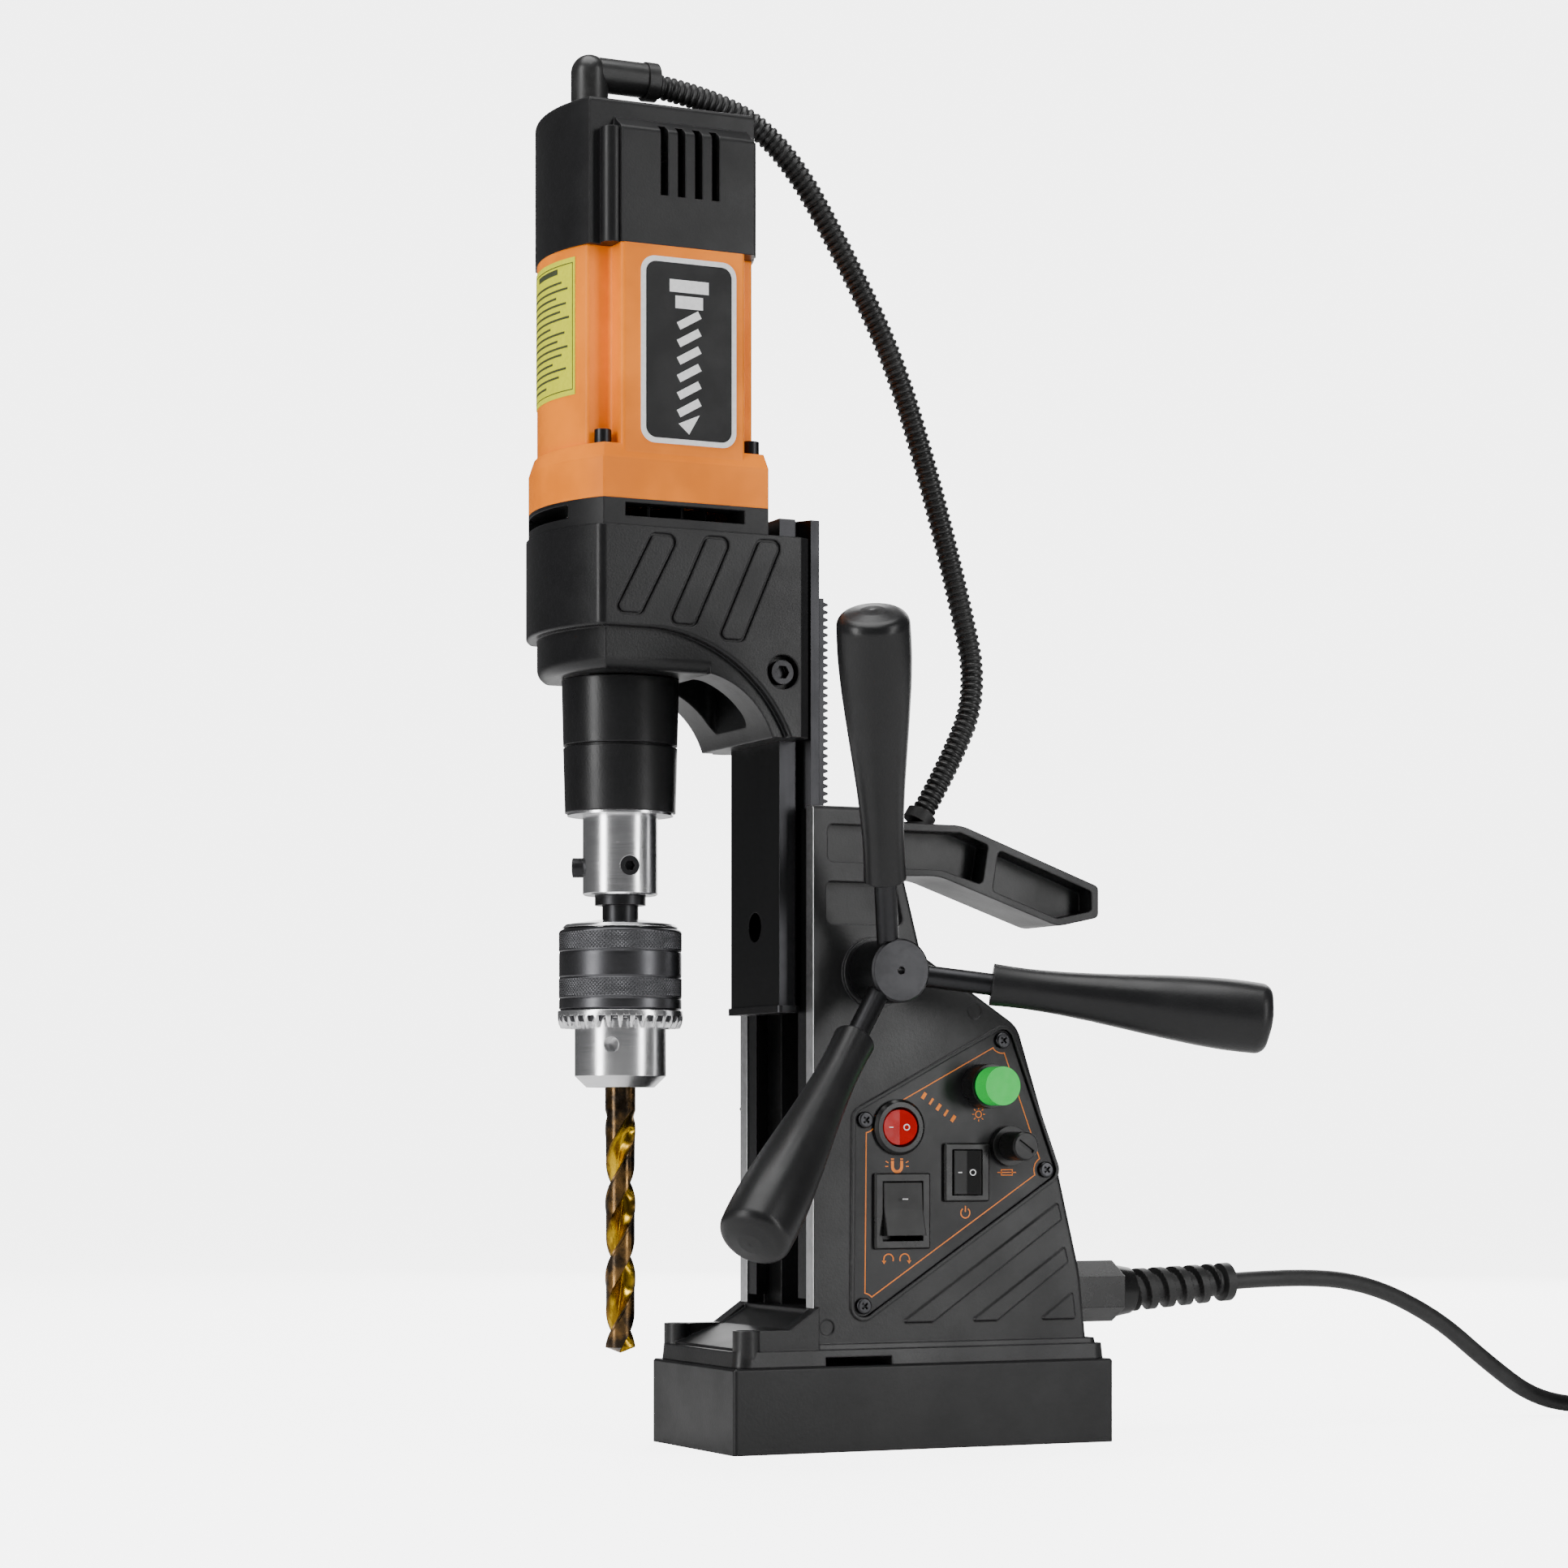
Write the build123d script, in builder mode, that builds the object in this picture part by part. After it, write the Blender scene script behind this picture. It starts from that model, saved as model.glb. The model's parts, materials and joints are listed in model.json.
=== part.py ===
"""Magnetic drill press: electromagnet foot, cast stand with dovetail rails, rack-fed slide, geared motor head,
keyed chuck and drill.

Frame, in millimetres: the origin is the centre of the magnet's bottom face, +X points to the rear (the side the
mains cable leaves), -X to the drill, -Y to the side of the control panel and feed levers, +Z up.
"""

import os
from math import cos, hypot, pi, radians, sin, tan

from build123d import *

os.makedirs("parts", exist_ok=True)

# ---------------------------------------------------------------- driving dimensions
GAP = 0.3  # between neighbouring pieces of different bodies
RUN = 0.05  # radial clearance of a running fit
MAGNET = (175.0, 84.0, 35.0)

# Stand casting
STAND_HALF = 36.0  # half width in Y
STAND_FRONT = -49.5
STAND_TOP = 263.5
FLANGE_TOP = 41.5
GROOVE_HALF = 29.2
GROOVE_BACK = -41.5
GROOVE_FOOT = 58.0
RACK_CHANNEL = (-25.0, 12.0)  # rear plane and half width
HANDLE_HALF = 15.0
BOSS_SCREW_X, BOSS_SCREW_Y = 79.0, 35.0
FOOT_SCREWS = ((-BOSS_SCREW_X, -BOSS_SCREW_Y), (-BOSS_SCREW_X, BOSS_SCREW_Y))
FOOT_STUDS = ((70.0, -24.0), (70.0, 24.0))
GIB_SCREW_X = -44.2
GIB_SCREW_Z = (80.0, 140.0, 200.0, 250.0)
BOSS_TOP = 50.0

# Slide and rack
SLIDE_FRONT, SLIDE_REAR = -59.2, -41.8
SLIDE_FOOT, SLIDE_TOP = 182.0, 381.0
RACK_PITCH_X = -30.0
RACK_HALF = 7.5
RACK_FOOT, RACK_TOP = 184.0, 352.0
RACK_MODULE = 1.0

# Feed
PINION_X, PINION_Z = -22.0, 195.5
PINION_TEETH = 16
LEVER_ANGLES = (106.5, -8.0, -130.5)  # in the XZ plane, from +X towards +Z
LEVER_TILT = 25.0  # the levers lean out of that plane, away from the stand
LEVER_APEX_Y = -50.0
GRIP_START, GRIP_LENGTH = 42.0, 115.0  # along the lever

# Head
SPINDLE_X = -119.5
COUNTER_X = -87.0
MOTOR_X = -107.0
HEAD_HALF = 39.0
HEAD_REAR = -52.2
CASE_TOP = 371.3
CASE_FLOOR = 331.0
NECK_FOOT = 314.5
SKIRT_FOOT, SKIRT_TOP = 382.0, 404.0
SEAM_Z = 484.0
COVER_TOP = 543.0
MOTOR_BORE = 33.5
DRILL_R = 6.2

# Panel: its outline follows the four screw centres (X, Z)
PANEL_SCREWS = ((-26.1, 135.2), (37.7, 168.4), (58.2, 114.5), (-26.8, 59.0))
PANEL_MARGIN = 4.4
PANEL_BACK, PANEL_FACE = -34.2, -35.6
LAMP_AT = (28.1, 149.2)
FUSE_AT = (40.6, 124.4)
MAGNET_SWITCH_AT = (-10.7, 132.2)
POWER_SWITCH_AT = (20.5, 113.5)
DIRECTION_SWITCH_AT = (-9.4, 97.7)

# Cords
CABLE_D = 7.5
CONDUIT_D = 10.0
GLAND_Z, GLAND_WALL_X = 61.5, 76.4
COIL_AT = (388.0, -46.0)
COIL_RADII = (37.2, 44.8)
COIL_LAYERS = 4
TURN_PITCH = 7.6
CONDUIT_FOOT = (15.4, 259.3)  # where the conduit meets the handle's top, X and Z
GROMMET_SINK, GROMMET_R = 2.4, 7.5


def save(part, name):
    """Label a finished piece and write it as its own STEP file."""
    part.label = name
    export_step(part, f"parts/{name}.step")


def near(y):
    """A plane facing the panel side at this Y: local x is X and local y is Z."""
    return Plane(origin=(0, y, 0), x_dir=(1, 0, 0), z_dir=(0, -1, 0))


def level(z, x=0.0, y=0.0):
    """A horizontal plane at this height, centred on (x, y)."""
    return Plane(origin=(x, y, z), x_dir=(1, 0, 0), z_dir=(0, 0, 1))


def facing_x(x, y=0.0, z=0.0):
    """A plane facing +X: local x is Y and local y is Z."""
    return Plane(origin=(x, y, z), x_dir=(0, 1, 0), z_dir=(1, 0, 0))


def turned(points, x, y=0.0):
    """A solid of revolution about the vertical axis at (x, y), from (radius, z) points."""
    with BuildPart() as piece:
        with BuildSketch(Plane(origin=(x, y, 0), x_dir=(1, 0, 0), z_dir=(0, -1, 0))):
            with BuildLine():
                Polyline(*points, close=True)
            make_face()
        revolve(axis=Axis((x, y, 0), (0, 0, 1)))
    return piece.part


def gear_outline(module, teeth, phase, half_tooth=0.2, addendum=0.8, dedendum=1.15):
    """Corner points of a straight-flanked spur gear; a tooth is centred on the phase angle."""
    pitch_r = module * teeth / 2
    points = []
    for k in range(teeth):
        centre = phase + k * 360 / teeth
        for side, depth, share in ((-1, -dedendum, 1.35), (-1, addendum, 0.55), (1, addendum, 0.55),
                                   (1, -dedendum, 1.35)):
            angle = radians(centre + side * share * half_tooth * 360 / teeth)
            r = pitch_r + depth * module
            points.append((r * cos(angle), r * sin(angle)))
    return points


def outline(points, radii=0):
    """A flat face through the points, each corner rounded by its radius."""
    corner_radii = radii if isinstance(radii, (list, tuple)) else [radii] * len(points)
    with BuildSketch() as face:
        with BuildLine():
            FilletPolyline(*points, radius=corner_radii, close=True)
        make_face()
    return face.sketch


def cut_corner_radii(points, share=0.45):
    """Arc radii for a cord's route: each is 0.45 of its shorter run over the tangent of half the turn."""
    radii = []
    for a, b, c in zip(points, points[1:], points[2:]):
        before, after = Vector(*b) - Vector(*a), Vector(*c) - Vector(*b)
        half_turn = radians(before.get_angle(after)) / 2
        radii.append(share * min(before.length, after.length) / tan(half_turn))
    return radii


def cord_tube(points, diameter, name):
    """A tube of straight runs and tangent arcs along the points."""
    radii = cut_corner_radii(points)
    with BuildPart() as tube:
        with BuildLine() as route:
            FilletPolyline(*points, radius=radii)
        path = route.wire()
        with BuildSketch(Plane(origin=path @ 0, z_dir=path % 0)):
            Circle(diameter / 2)
        sweep(path=path)
    share = tube.part.volume / (pi * diameter**2 / 4 * path.length)
    print(name, "radii", [round(r) for r in radii], "length", round(path.length, 1),
          "volume share", round(share, 4))
    return tube.part


# ---------------------------------------------------------------- magnet
POCKET = (155.0, 64.0)
POLE = (118.0, 27.0)
POCKET_TOP = 26.0
COIL_FOOT = 7.0
with BuildPart() as magnet_housing:
    with BuildSketch(level(0)):
        RectangleRounded(MAGNET[0], MAGNET[1], 1.5)
    extrude(amount=MAGNET[2])
    chamfer(magnet_housing.edges().group_by(Axis.Z)[-1], 0.8)
    with BuildSketch(level(0)):
        RectangleRounded(POCKET[0], POCKET[1], 8)
        Rectangle(POLE[0], POLE[1], mode=Mode.SUBTRACT)
    extrude(amount=POCKET_TOP, mode=Mode.SUBTRACT)
    with Locations(*[(x, y, MAGNET[2]) for x, y in FOOT_SCREWS]):
        Hole(radius=2.5, depth=14)
    with Locations(*[(x, y, MAGNET[2]) for x, y in FOOT_STUDS]):
        Hole(radius=3, depth=8)
save(magnet_housing.part, "magnet_housing")

with BuildPart() as magnet_coil:
    with BuildSketch(level(COIL_FOOT)):
        RectangleRounded(POCKET[0] - 2, POCKET[1] - 2, 7)
        RectangleRounded(POLE[0] + 2, POLE[1] + 2, 3, mode=Mode.SUBTRACT)
    extrude(amount=POCKET_TOP - COIL_FOOT - 1)
save(magnet_coil.part, "magnet_coil")

with BuildPart() as magnet_potting:
    with BuildSketch(level(0.4)):
        RectangleRounded(POCKET[0], POCKET[1], 8)
        Rectangle(POLE[0], POLE[1], mode=Mode.SUBTRACT)
    extrude(amount=COIL_FOOT - 0.4)
save(magnet_potting.part, "magnet_potting")

# ---------------------------------------------------------------- stand casting
STRAP_SLOT = (-46.0, -16.0, 3.6)
WITNESS_DISCS = ((24.8, 180.5), (-43.3, 50.5))
GLAND_BORE_R = 10.0
COLUMN_SIDE = ((STAND_FRONT, 43), (STAND_FRONT, STAND_TOP), (-15.2, STAND_TOP), (0.5, 203.5), (45.5, 174.5),
               (64.8, 114.5), (75.3, 71), (78.2, 43))
HANDLE_SIDE = ((-24, 259.3), (29.5, 259.3), (95.6, 235.3), (95.6, 222.0), (76.0, 217.8), (19.0, 237.6),
               (-24, 236.6))
HANDLE_POCKETS = (
    ((-4, 256.2), (29, 256.2), (42.5, 251.4), (39.5, 234.4), (20, 240.2), (-4, 240.2)),
    ((47.2, 249.6), (92.4, 233.2), (92.4, 224.6), (76.0, 221.0), (44.4, 232.0)),
)
HANDLE_WEB = 4.0
RIB_PADS = (
    ((-10.5, 51.5), (5.0, 51.5), (66.0, 93.5), (64.0, 101.0)),
    ((21.7, 51.5), (35.1, 51.5), (69.0, 75.5), (67.3, 82.5)),
    ((54.3, 51.5), (72.6, 51.5), (71.2, 63.5)),
)
TOP_RECESSES = (
    ((-43, 240.5), (-43, 256.0), (-19.5, 256.0), (-15.5, 240.5)),
    ((-43.8, 215.2), (-43.8, 232.6), (-12.2, 232.6), (-8.2, 215.2)),
)
ELECTRONICS_BAY = ((-22.5, 67), (-22.5, 133), (18, 155), (35, 159), (49, 124), (47, 113), (-14, 67))
BAY_BACK = 30.0
PINION_WELL_R = 10.5
PINION_WELL_HALF = 20.0
BUSH_R = 10.0

with BuildPart() as stand_casting:
    # column with its rounded side rims
    with BuildSketch(near(0)):
        add(outline(COLUMN_SIDE, (0, 0, 1.5, 8, 12, 14, 60, 0)))
    extrude(amount=STAND_HALF, both=True)
    flank_edges = stand_casting.faces().filter_by(Axis.Y).edges()
    rims = flank_edges.filter_by(lambda e: e.center().X > -45 and e.center().Z > 50)
    fillet(rims, 2.2)
    # foot flange and plinth
    with BuildSketch(level(MAGNET[2])):
        RectangleRounded(MAGNET[0] - 4, MAGNET[1] - 2.4, 6)
    extrude(amount=FLANGE_TOP - MAGNET[2], taper=6)
    with BuildSketch(level(FLANGE_TOP - 2)):
        with Locations((16, 0)):
            RectangleRounded(134, 2 * STAND_HALF + 4, 4)
    extrude(amount=4.2, taper=12)
    # front slope between two side walls that end in screw bosses
    with BuildSketch(near(0)):
        add(outline(((-82, 39), (-48, 39), (-48, 57), (-60, 50), (-82, 42.5))))
    extrude(amount=34, both=True)
    for side in (-1, 1):
        with BuildSketch(near(side * BOSS_SCREW_Y)):
            add(outline(((-BOSS_SCREW_X, 39), (-48, 39), (-48, 59), (-61, BOSS_TOP), (-BOSS_SCREW_X, BOSS_TOP))))
        extrude(amount=3.6, both=True)
    with BuildSketch(level(39)):
        with Locations(*FOOT_SCREWS):
            Circle(5.6)
    extrude(amount=BOSS_TOP - 39)
    # carry handle, with pockets on both sides of a web
    with BuildSketch(near(0)):
        add(outline(HANDLE_SIDE, (0, 22, 2.5, 2.5, 12, 26, 0)))
    extrude(amount=HANDLE_HALF, both=True)
    for pocket in HANDLE_POCKETS:
        for side in (-1, 1):
            with BuildSketch(near(side * HANDLE_HALF)):
                add(outline(pocket, 2))
            extrude(amount=side * (HANDLE_HALF - HANDLE_WEB), mode=Mode.SUBTRACT)
    # dovetail groove, rack channel and pinion well
    with BuildSketch(level(GROOVE_FOOT)):
        with Locations(((STAND_FRONT + GROOVE_BACK) / 2 - 1, 0)):
            Rectangle(GROOVE_BACK - STAND_FRONT + 2, 2 * GROOVE_HALF)
    extrude(amount=STAND_TOP - GROOVE_FOOT, mode=Mode.SUBTRACT)
    with BuildSketch(level(GROOVE_FOOT)):
        with Locations(((GROOVE_BACK + RACK_CHANNEL[0]) / 2 - 1, 0)):
            Rectangle(RACK_CHANNEL[0] - GROOVE_BACK + 2, 2 * RACK_CHANNEL[1])
    extrude(amount=STAND_TOP - GROOVE_FOOT, mode=Mode.SUBTRACT)
    with BuildSketch(near(0)):
        with Locations((PINION_X, PINION_Z)):
            Circle(PINION_WELL_R)
    extrude(amount=PINION_WELL_HALF, both=True, mode=Mode.SUBTRACT)
    with BuildSketch(near(-STAND_HALF)):
        with Locations((PINION_X, PINION_Z)):
            Circle(14.6)
    extrude(amount=2.2)
    with BuildSketch(near(-STAND_HALF - 5)):
        with Locations((PINION_X, PINION_Z)):
            Circle(BUSH_R)
    extrude(amount=-2 * STAND_HALF - 10, mode=Mode.SUBTRACT)
    # recesses and raised pads on the panel side, mirrored on the far side where they are plain
    for recess in TOP_RECESSES:
        for side in (-1, 1):
            with BuildSketch(near(side * STAND_HALF)):
                add(outline(recess, 2.5))
            extrude(amount=side * 5, mode=Mode.SUBTRACT)
    for pad in RIB_PADS:
        for side in (-1, 1):
            with BuildSketch(near(side * STAND_HALF)):
                add(outline(pad, 1))
            extrude(amount=-side * 1.1, taper=30)
    with BuildSketch(near(-STAND_HALF)):
        with Locations(*WITNESS_DISCS):
            Circle(3.2)
    extrude(amount=-0.5, mode=Mode.SUBTRACT)
    # panel: raised bead, recess, electronics bay and cable bore
    with BuildSketch(near(-STAND_HALF)):
        add(outline(PANEL_SCREWS))
        offset(amount=PANEL_MARGIN + 1.7)
        with BuildSketch(Plane.XY, mode=Mode.SUBTRACT):
            add(outline(PANEL_SCREWS))
            offset(amount=PANEL_MARGIN + 0.2)
    extrude(amount=0.9)
    with BuildSketch(near(-STAND_HALF - 1)):
        add(outline(PANEL_SCREWS))
        offset(amount=PANEL_MARGIN + 0.2)
    extrude(amount=-(PANEL_BACK + STAND_HALF + 1), mode=Mode.SUBTRACT)
    with BuildSketch(near(PANEL_BACK)):
        add(outline(ELECTRONICS_BAY, 3))
    extrude(amount=-(BAY_BACK - PANEL_BACK), mode=Mode.SUBTRACT)
    with BuildSketch(near(PANEL_BACK)):
        with Locations(*PANEL_SCREWS):
            Circle(1.6)
    extrude(amount=-9, mode=Mode.SUBTRACT)
    with BuildSketch(near(PANEL_BACK)):
        with Locations(MAGNET_SWITCH_AT):
            Circle(10.6)
    extrude(amount=-(BAY_BACK - PANEL_BACK), mode=Mode.SUBTRACT)
    with BuildSketch(facing_x(85, 0, GLAND_Z)):
        Circle(GLAND_BORE_R)
    extrude(amount=-75, mode=Mode.SUBTRACT)
    # spot face that the cable gland seats on
    with BuildSketch(facing_x(GLAND_WALL_X, 0, GLAND_Z)):
        Circle(14)
    extrude(amount=12, mode=Mode.SUBTRACT)
    # strap slot under the flange and the four foot screws
    with BuildSketch(near(0)):
        with Locations(((STRAP_SLOT[0] + STRAP_SLOT[1]) / 2, MAGNET[2] + STRAP_SLOT[2] / 2)):
            Rectangle(STRAP_SLOT[1] - STRAP_SLOT[0], STRAP_SLOT[2])
    extrude(amount=60, both=True, mode=Mode.SUBTRACT)
    with Locations(*[(x, y, BOSS_TOP) for x, y in FOOT_SCREWS]):
        CounterBoreHole(radius=2.75, counter_bore_radius=4.5, counter_bore_depth=6)
    with BuildSketch(level(MAGNET[2])):
        with Locations(*FOOT_STUDS):
            Circle(3)
    extrude(amount=22, mode=Mode.SUBTRACT)
    # seats of the conduit grommet and the far gib screws
    with BuildSketch(level(CONDUIT_FOOT[1], CONDUIT_FOOT[0])):
        Circle(GROMMET_R)
    extrude(amount=-GROMMET_SINK, mode=Mode.SUBTRACT)
    with BuildSketch(near(STAND_HALF)):
        with Locations(*[(GIB_SCREW_X, z) for z in GIB_SCREW_Z]):
            Circle(2.5)
    extrude(amount=STAND_HALF - GROOVE_HALF, mode=Mode.SUBTRACT)
save(stand_casting.part, "stand_casting")

with BuildPart() as stand_screws:
    for x, y in FOOT_SCREWS:
        with BuildSketch(level(BOSS_TOP - 6, x, y)):
            Circle(4.25)
        extrude(amount=5)
        with BuildSketch(level(MAGNET[2] - 14, x, y)):
            Circle(2.5)
        extrude(amount=BOSS_TOP - 6 - MAGNET[2] + 14)
        with BuildSketch(level(BOSS_TOP - 1, x, y)):
            RegularPolygon(2.3, 6)
        extrude(amount=-2.6, mode=Mode.SUBTRACT)
    for x, y in FOOT_STUDS:
        with BuildSketch(level(MAGNET[2] - 8, x, y)):
            Circle(3)
        extrude(amount=29)
save(stand_screws.part, "stand_screws")

# ---------------------------------------------------------------- rails of the dovetail groove
RAIL_SECTION = ((-49.0, 20.5), (-45.95, 25.8), (GROOVE_BACK, 25.8), (GROOVE_BACK, GROOVE_HALF),
                (-49.0, GROOVE_HALF))
for name, side in (("slide_rail", -1), ("gib_strip", 1)):
    with BuildPart() as rail:
        with BuildSketch(level(GROOVE_FOOT + 4)):
            add(outline([(x, side * y) for x, y in RAIL_SECTION]))
        extrude(amount=STAND_TOP - GROOVE_FOOT - 5)
    save(rail.part, name)

with BuildPart() as gib_screws:
    for z in GIB_SCREW_Z:
        with BuildSketch(near(STAND_HALF + 3)):
            with Locations((GIB_SCREW_X, z)):
                Circle(2.5)
        extrude(amount=STAND_HALF + 3 - GROOVE_HALF)
        with BuildSketch(near(STAND_HALF + 3)):
            with Locations((GIB_SCREW_X, z)):
                RegularPolygon(1.3, 6)
        extrude(amount=2.5, mode=Mode.SUBTRACT)
        with BuildSketch(near(STAND_HALF + 2.6)):
            with Locations((GIB_SCREW_X, z)):
                RegularPolygon(4.6, 6)
                Circle(2.5, mode=Mode.SUBTRACT)
        extrude(amount=2.6)
save(gib_screws.part, "gib_screws")

# ---------------------------------------------------------------- control panel
ROUND_SWITCH_R, ROUND_BODY_R = 11.5, 9.8
POWER_FRAME, POWER_BODY = (21.0, 24.3), (16.6, 20.4)
DIRECTION_FRAME, DIRECTION_BODY = (25.6, 31.3), (21.4, 27.4)
SWITCH_DEPTH = 17.0
LAMP_R, FUSE_R = 7.2, 6.4
with BuildPart() as control_panel:
    with BuildSketch(near(PANEL_BACK)):
        add(outline(PANEL_SCREWS))
        offset(amount=PANEL_MARGIN)
        with Locations(*PANEL_SCREWS):
            Circle(1.8, mode=Mode.SUBTRACT)
        with Locations(MAGNET_SWITCH_AT):
            Circle(ROUND_BODY_R, mode=Mode.SUBTRACT)
        with Locations(POWER_SWITCH_AT):
            Rectangle(*POWER_BODY, mode=Mode.SUBTRACT)
        with Locations(DIRECTION_SWITCH_AT):
            Rectangle(*DIRECTION_BODY, mode=Mode.SUBTRACT)
        with Locations(LAMP_AT):
            Circle(LAMP_R, mode=Mode.SUBTRACT)
        with Locations(FUSE_AT):
            Circle(FUSE_R, mode=Mode.SUBTRACT)
    extrude(amount=PANEL_BACK - PANEL_FACE)
save(control_panel.part, "control_panel")

with BuildPart() as panel_screws:
    for x, z in PANEL_SCREWS:
        with BuildSketch(near(PANEL_BACK + 8)):
            with Locations((x, z)):
                Circle(1.55)
        extrude(amount=PANEL_BACK + 8 - PANEL_FACE)
        with BuildSketch(near(PANEL_FACE)):
            with Locations((x, z)):
                Circle(3.4)
        extrude(amount=1.9)
        with BuildSketch(near(PANEL_FACE - 1.9)):
            with Locations((x, z)):
                Rectangle(3.2, 0.8, rotation=45)
                Rectangle(3.2, 0.8, rotation=-45)
        extrude(amount=-1.2, mode=Mode.SUBTRACT)
    fillet(panel_screws.edges().filter_by(GeomType.CIRCLE).group_by(Axis.Y)[0], 0.9)
save(panel_screws.part, "panel_screws")


def switch_shell(frame, body, at, lip, window, name):
    """A snap-in rocker housing: frame on the panel, body behind it, and a pocket for the rocker."""
    with BuildPart() as shell:
        with BuildSketch(near(PANEL_FACE)):
            with Locations(at):
                RectangleRounded(*frame, 1)
        extrude(amount=lip)
        chamfer(shell.faces().sort_by(Axis.Y)[0].edges(), 0.6)
        with BuildSketch(near(PANEL_FACE)):
            with Locations(at):
                Rectangle(body[0] - 0.2, body[1] - 0.2)
        extrude(amount=-SWITCH_DEPTH)
        with BuildSketch(near(PANEL_FACE - lip)):
            with Locations(at):
                Rectangle(*window)
        extrude(amount=-lip - SWITCH_DEPTH + 3, mode=Mode.SUBTRACT)
    save(shell.part, name)


FRAME_LIP = 2.0
POWER_WINDOW, DIRECTION_WINDOW = (14.0, 19.0), (18.6, 24.6)
switch_shell(POWER_FRAME, POWER_BODY, POWER_SWITCH_AT, FRAME_LIP, POWER_WINDOW, "power_switch_frame")
switch_shell(DIRECTION_FRAME, DIRECTION_BODY, DIRECTION_SWITCH_AT, FRAME_LIP, DIRECTION_WINDOW,
             "direction_switch_frame")

ROUND_WINDOW_R = 8.2
with BuildPart() as magnet_switch_bezel:
    with BuildSketch(near(PANEL_FACE)):
        with Locations(MAGNET_SWITCH_AT):
            Circle(ROUND_SWITCH_R)
    extrude(amount=FRAME_LIP + 0.6)
    chamfer(magnet_switch_bezel.faces().sort_by(Axis.Y)[0].edges(), 1.2)
    with BuildSketch(near(PANEL_FACE)):
        with Locations(MAGNET_SWITCH_AT):
            Circle(ROUND_BODY_R - 0.1)
    extrude(amount=-SWITCH_DEPTH)
    with BuildSketch(near(PANEL_FACE - 5)):
        with Locations(MAGNET_SWITCH_AT):
            Circle(ROUND_WINDOW_R)
    extrude(amount=-5 - SWITCH_DEPTH + 3, mode=Mode.SUBTRACT)
save(magnet_switch_bezel.part, "magnet_switch_bezel")

# Rockers turn about a pin line inside their frames; each face is a shallow V of two flats.
ROCKER_PIVOT_Y = PANEL_FACE + 1.5
ROCKER_CROWN, ROCKER_RISE = 4.1, 1.2
TWO_WAY_TIP, THREE_WAY_TIP = 8.0, 10.0


def rocker(at, width, length, tip, plane_x, plane_z, trim_r, name):
    """A rocker tipped about its pin; plane_x is its long way and plane_z its pin line."""
    swing = radians(tip)
    top = ROCKER_CROWN + ROCKER_RISE
    half = length / 2 - 0.3 - top * abs(sin(swing))
    section = ((-half, top), (0, ROCKER_CROWN), (half, top), (half * 0.85, -6), (-half * 0.85, -6))
    tipped = [(a * cos(swing) - b * sin(swing), -a * sin(swing) - b * cos(swing)) for a, b in section]
    with BuildPart() as piece:
        with BuildSketch(Plane(origin=(at[0], ROCKER_PIVOT_Y, at[1]), x_dir=plane_x, z_dir=plane_z)):
            add(outline(tipped))
        extrude(amount=width / 2 - 0.4, both=True)
        if trim_r:
            outward = Vector(-sin(swing), -cos(swing), 0)
            pivot = Vector(at[0], ROCKER_PIVOT_Y, at[1])
            with BuildSketch(Plane(origin=pivot - outward * 10, z_dir=outward)):
                Circle(trim_r)
            extrude(amount=20, mode=Mode.INTERSECT)
    save(piece.part, name)


UPRIGHT, SIDEWAYS = ((1, 0, 0), (0, 0, 1)), ((0, 0, 1), (-1, 0, 0))
rocker(MAGNET_SWITCH_AT, 2 * ROUND_WINDOW_R, 2 * ROUND_WINDOW_R, TWO_WAY_TIP, *UPRIGHT, 7.2, "magnet_rocker")
rocker(POWER_SWITCH_AT, POWER_WINDOW[1], POWER_WINDOW[0], TWO_WAY_TIP, *UPRIGHT, 0, "power_rocker")
rocker(DIRECTION_SWITCH_AT, DIRECTION_WINDOW[0], DIRECTION_WINDOW[1], -THREE_WAY_TIP, *SIDEWAYS, 0,
       "direction_rocker")


def stepped_post(at, steps, name, bore=None):
    """A stack of cylinders along Y at (X, Z); each step is (radius, y nearest the panel side, y behind)."""
    with BuildPart() as post:
        for r, y_near, y_far in steps:
            with BuildSketch(near(y_far)):
                with Locations(at):
                    Circle(r)
            extrude(amount=y_far - y_near)
        if bore:
            with BuildSketch(near(bore[2])):
                with Locations(at):
                    Circle(bore[0])
            extrude(amount=bore[2] - bore[1], mode=Mode.SUBTRACT)
    save(post.part, name)


LAMP_FRONT = PANEL_FACE - 19
stepped_post(LAMP_AT, ((9.2, PANEL_FACE - 9.5, PANEL_FACE), (LAMP_R - 0.1, PANEL_FACE, PANEL_FACE + 16)),
             "pilot_lamp_body", bore=(6.5, PANEL_FACE - 9.5, PANEL_FACE + 12))
stepped_post(LAMP_AT, ((8.0, LAMP_FRONT, PANEL_FACE - 9.5), (6.4, PANEL_FACE - 9.5, PANEL_FACE - 4)),
             "pilot_lamp_lens", bore=(5.6, LAMP_FRONT + 2.2, PANEL_FACE - 4))
FUSE_FRONT = PANEL_FACE - 16
FUSE_CAP_R = 6.0
stepped_post(FUSE_AT, ((8.4, PANEL_FACE - 3, PANEL_FACE), (FUSE_R - 0.1, PANEL_FACE, PANEL_FACE + 24)),
             "fuse_holder", bore=(4.6, PANEL_FACE - 3, PANEL_FACE + 21))
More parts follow.
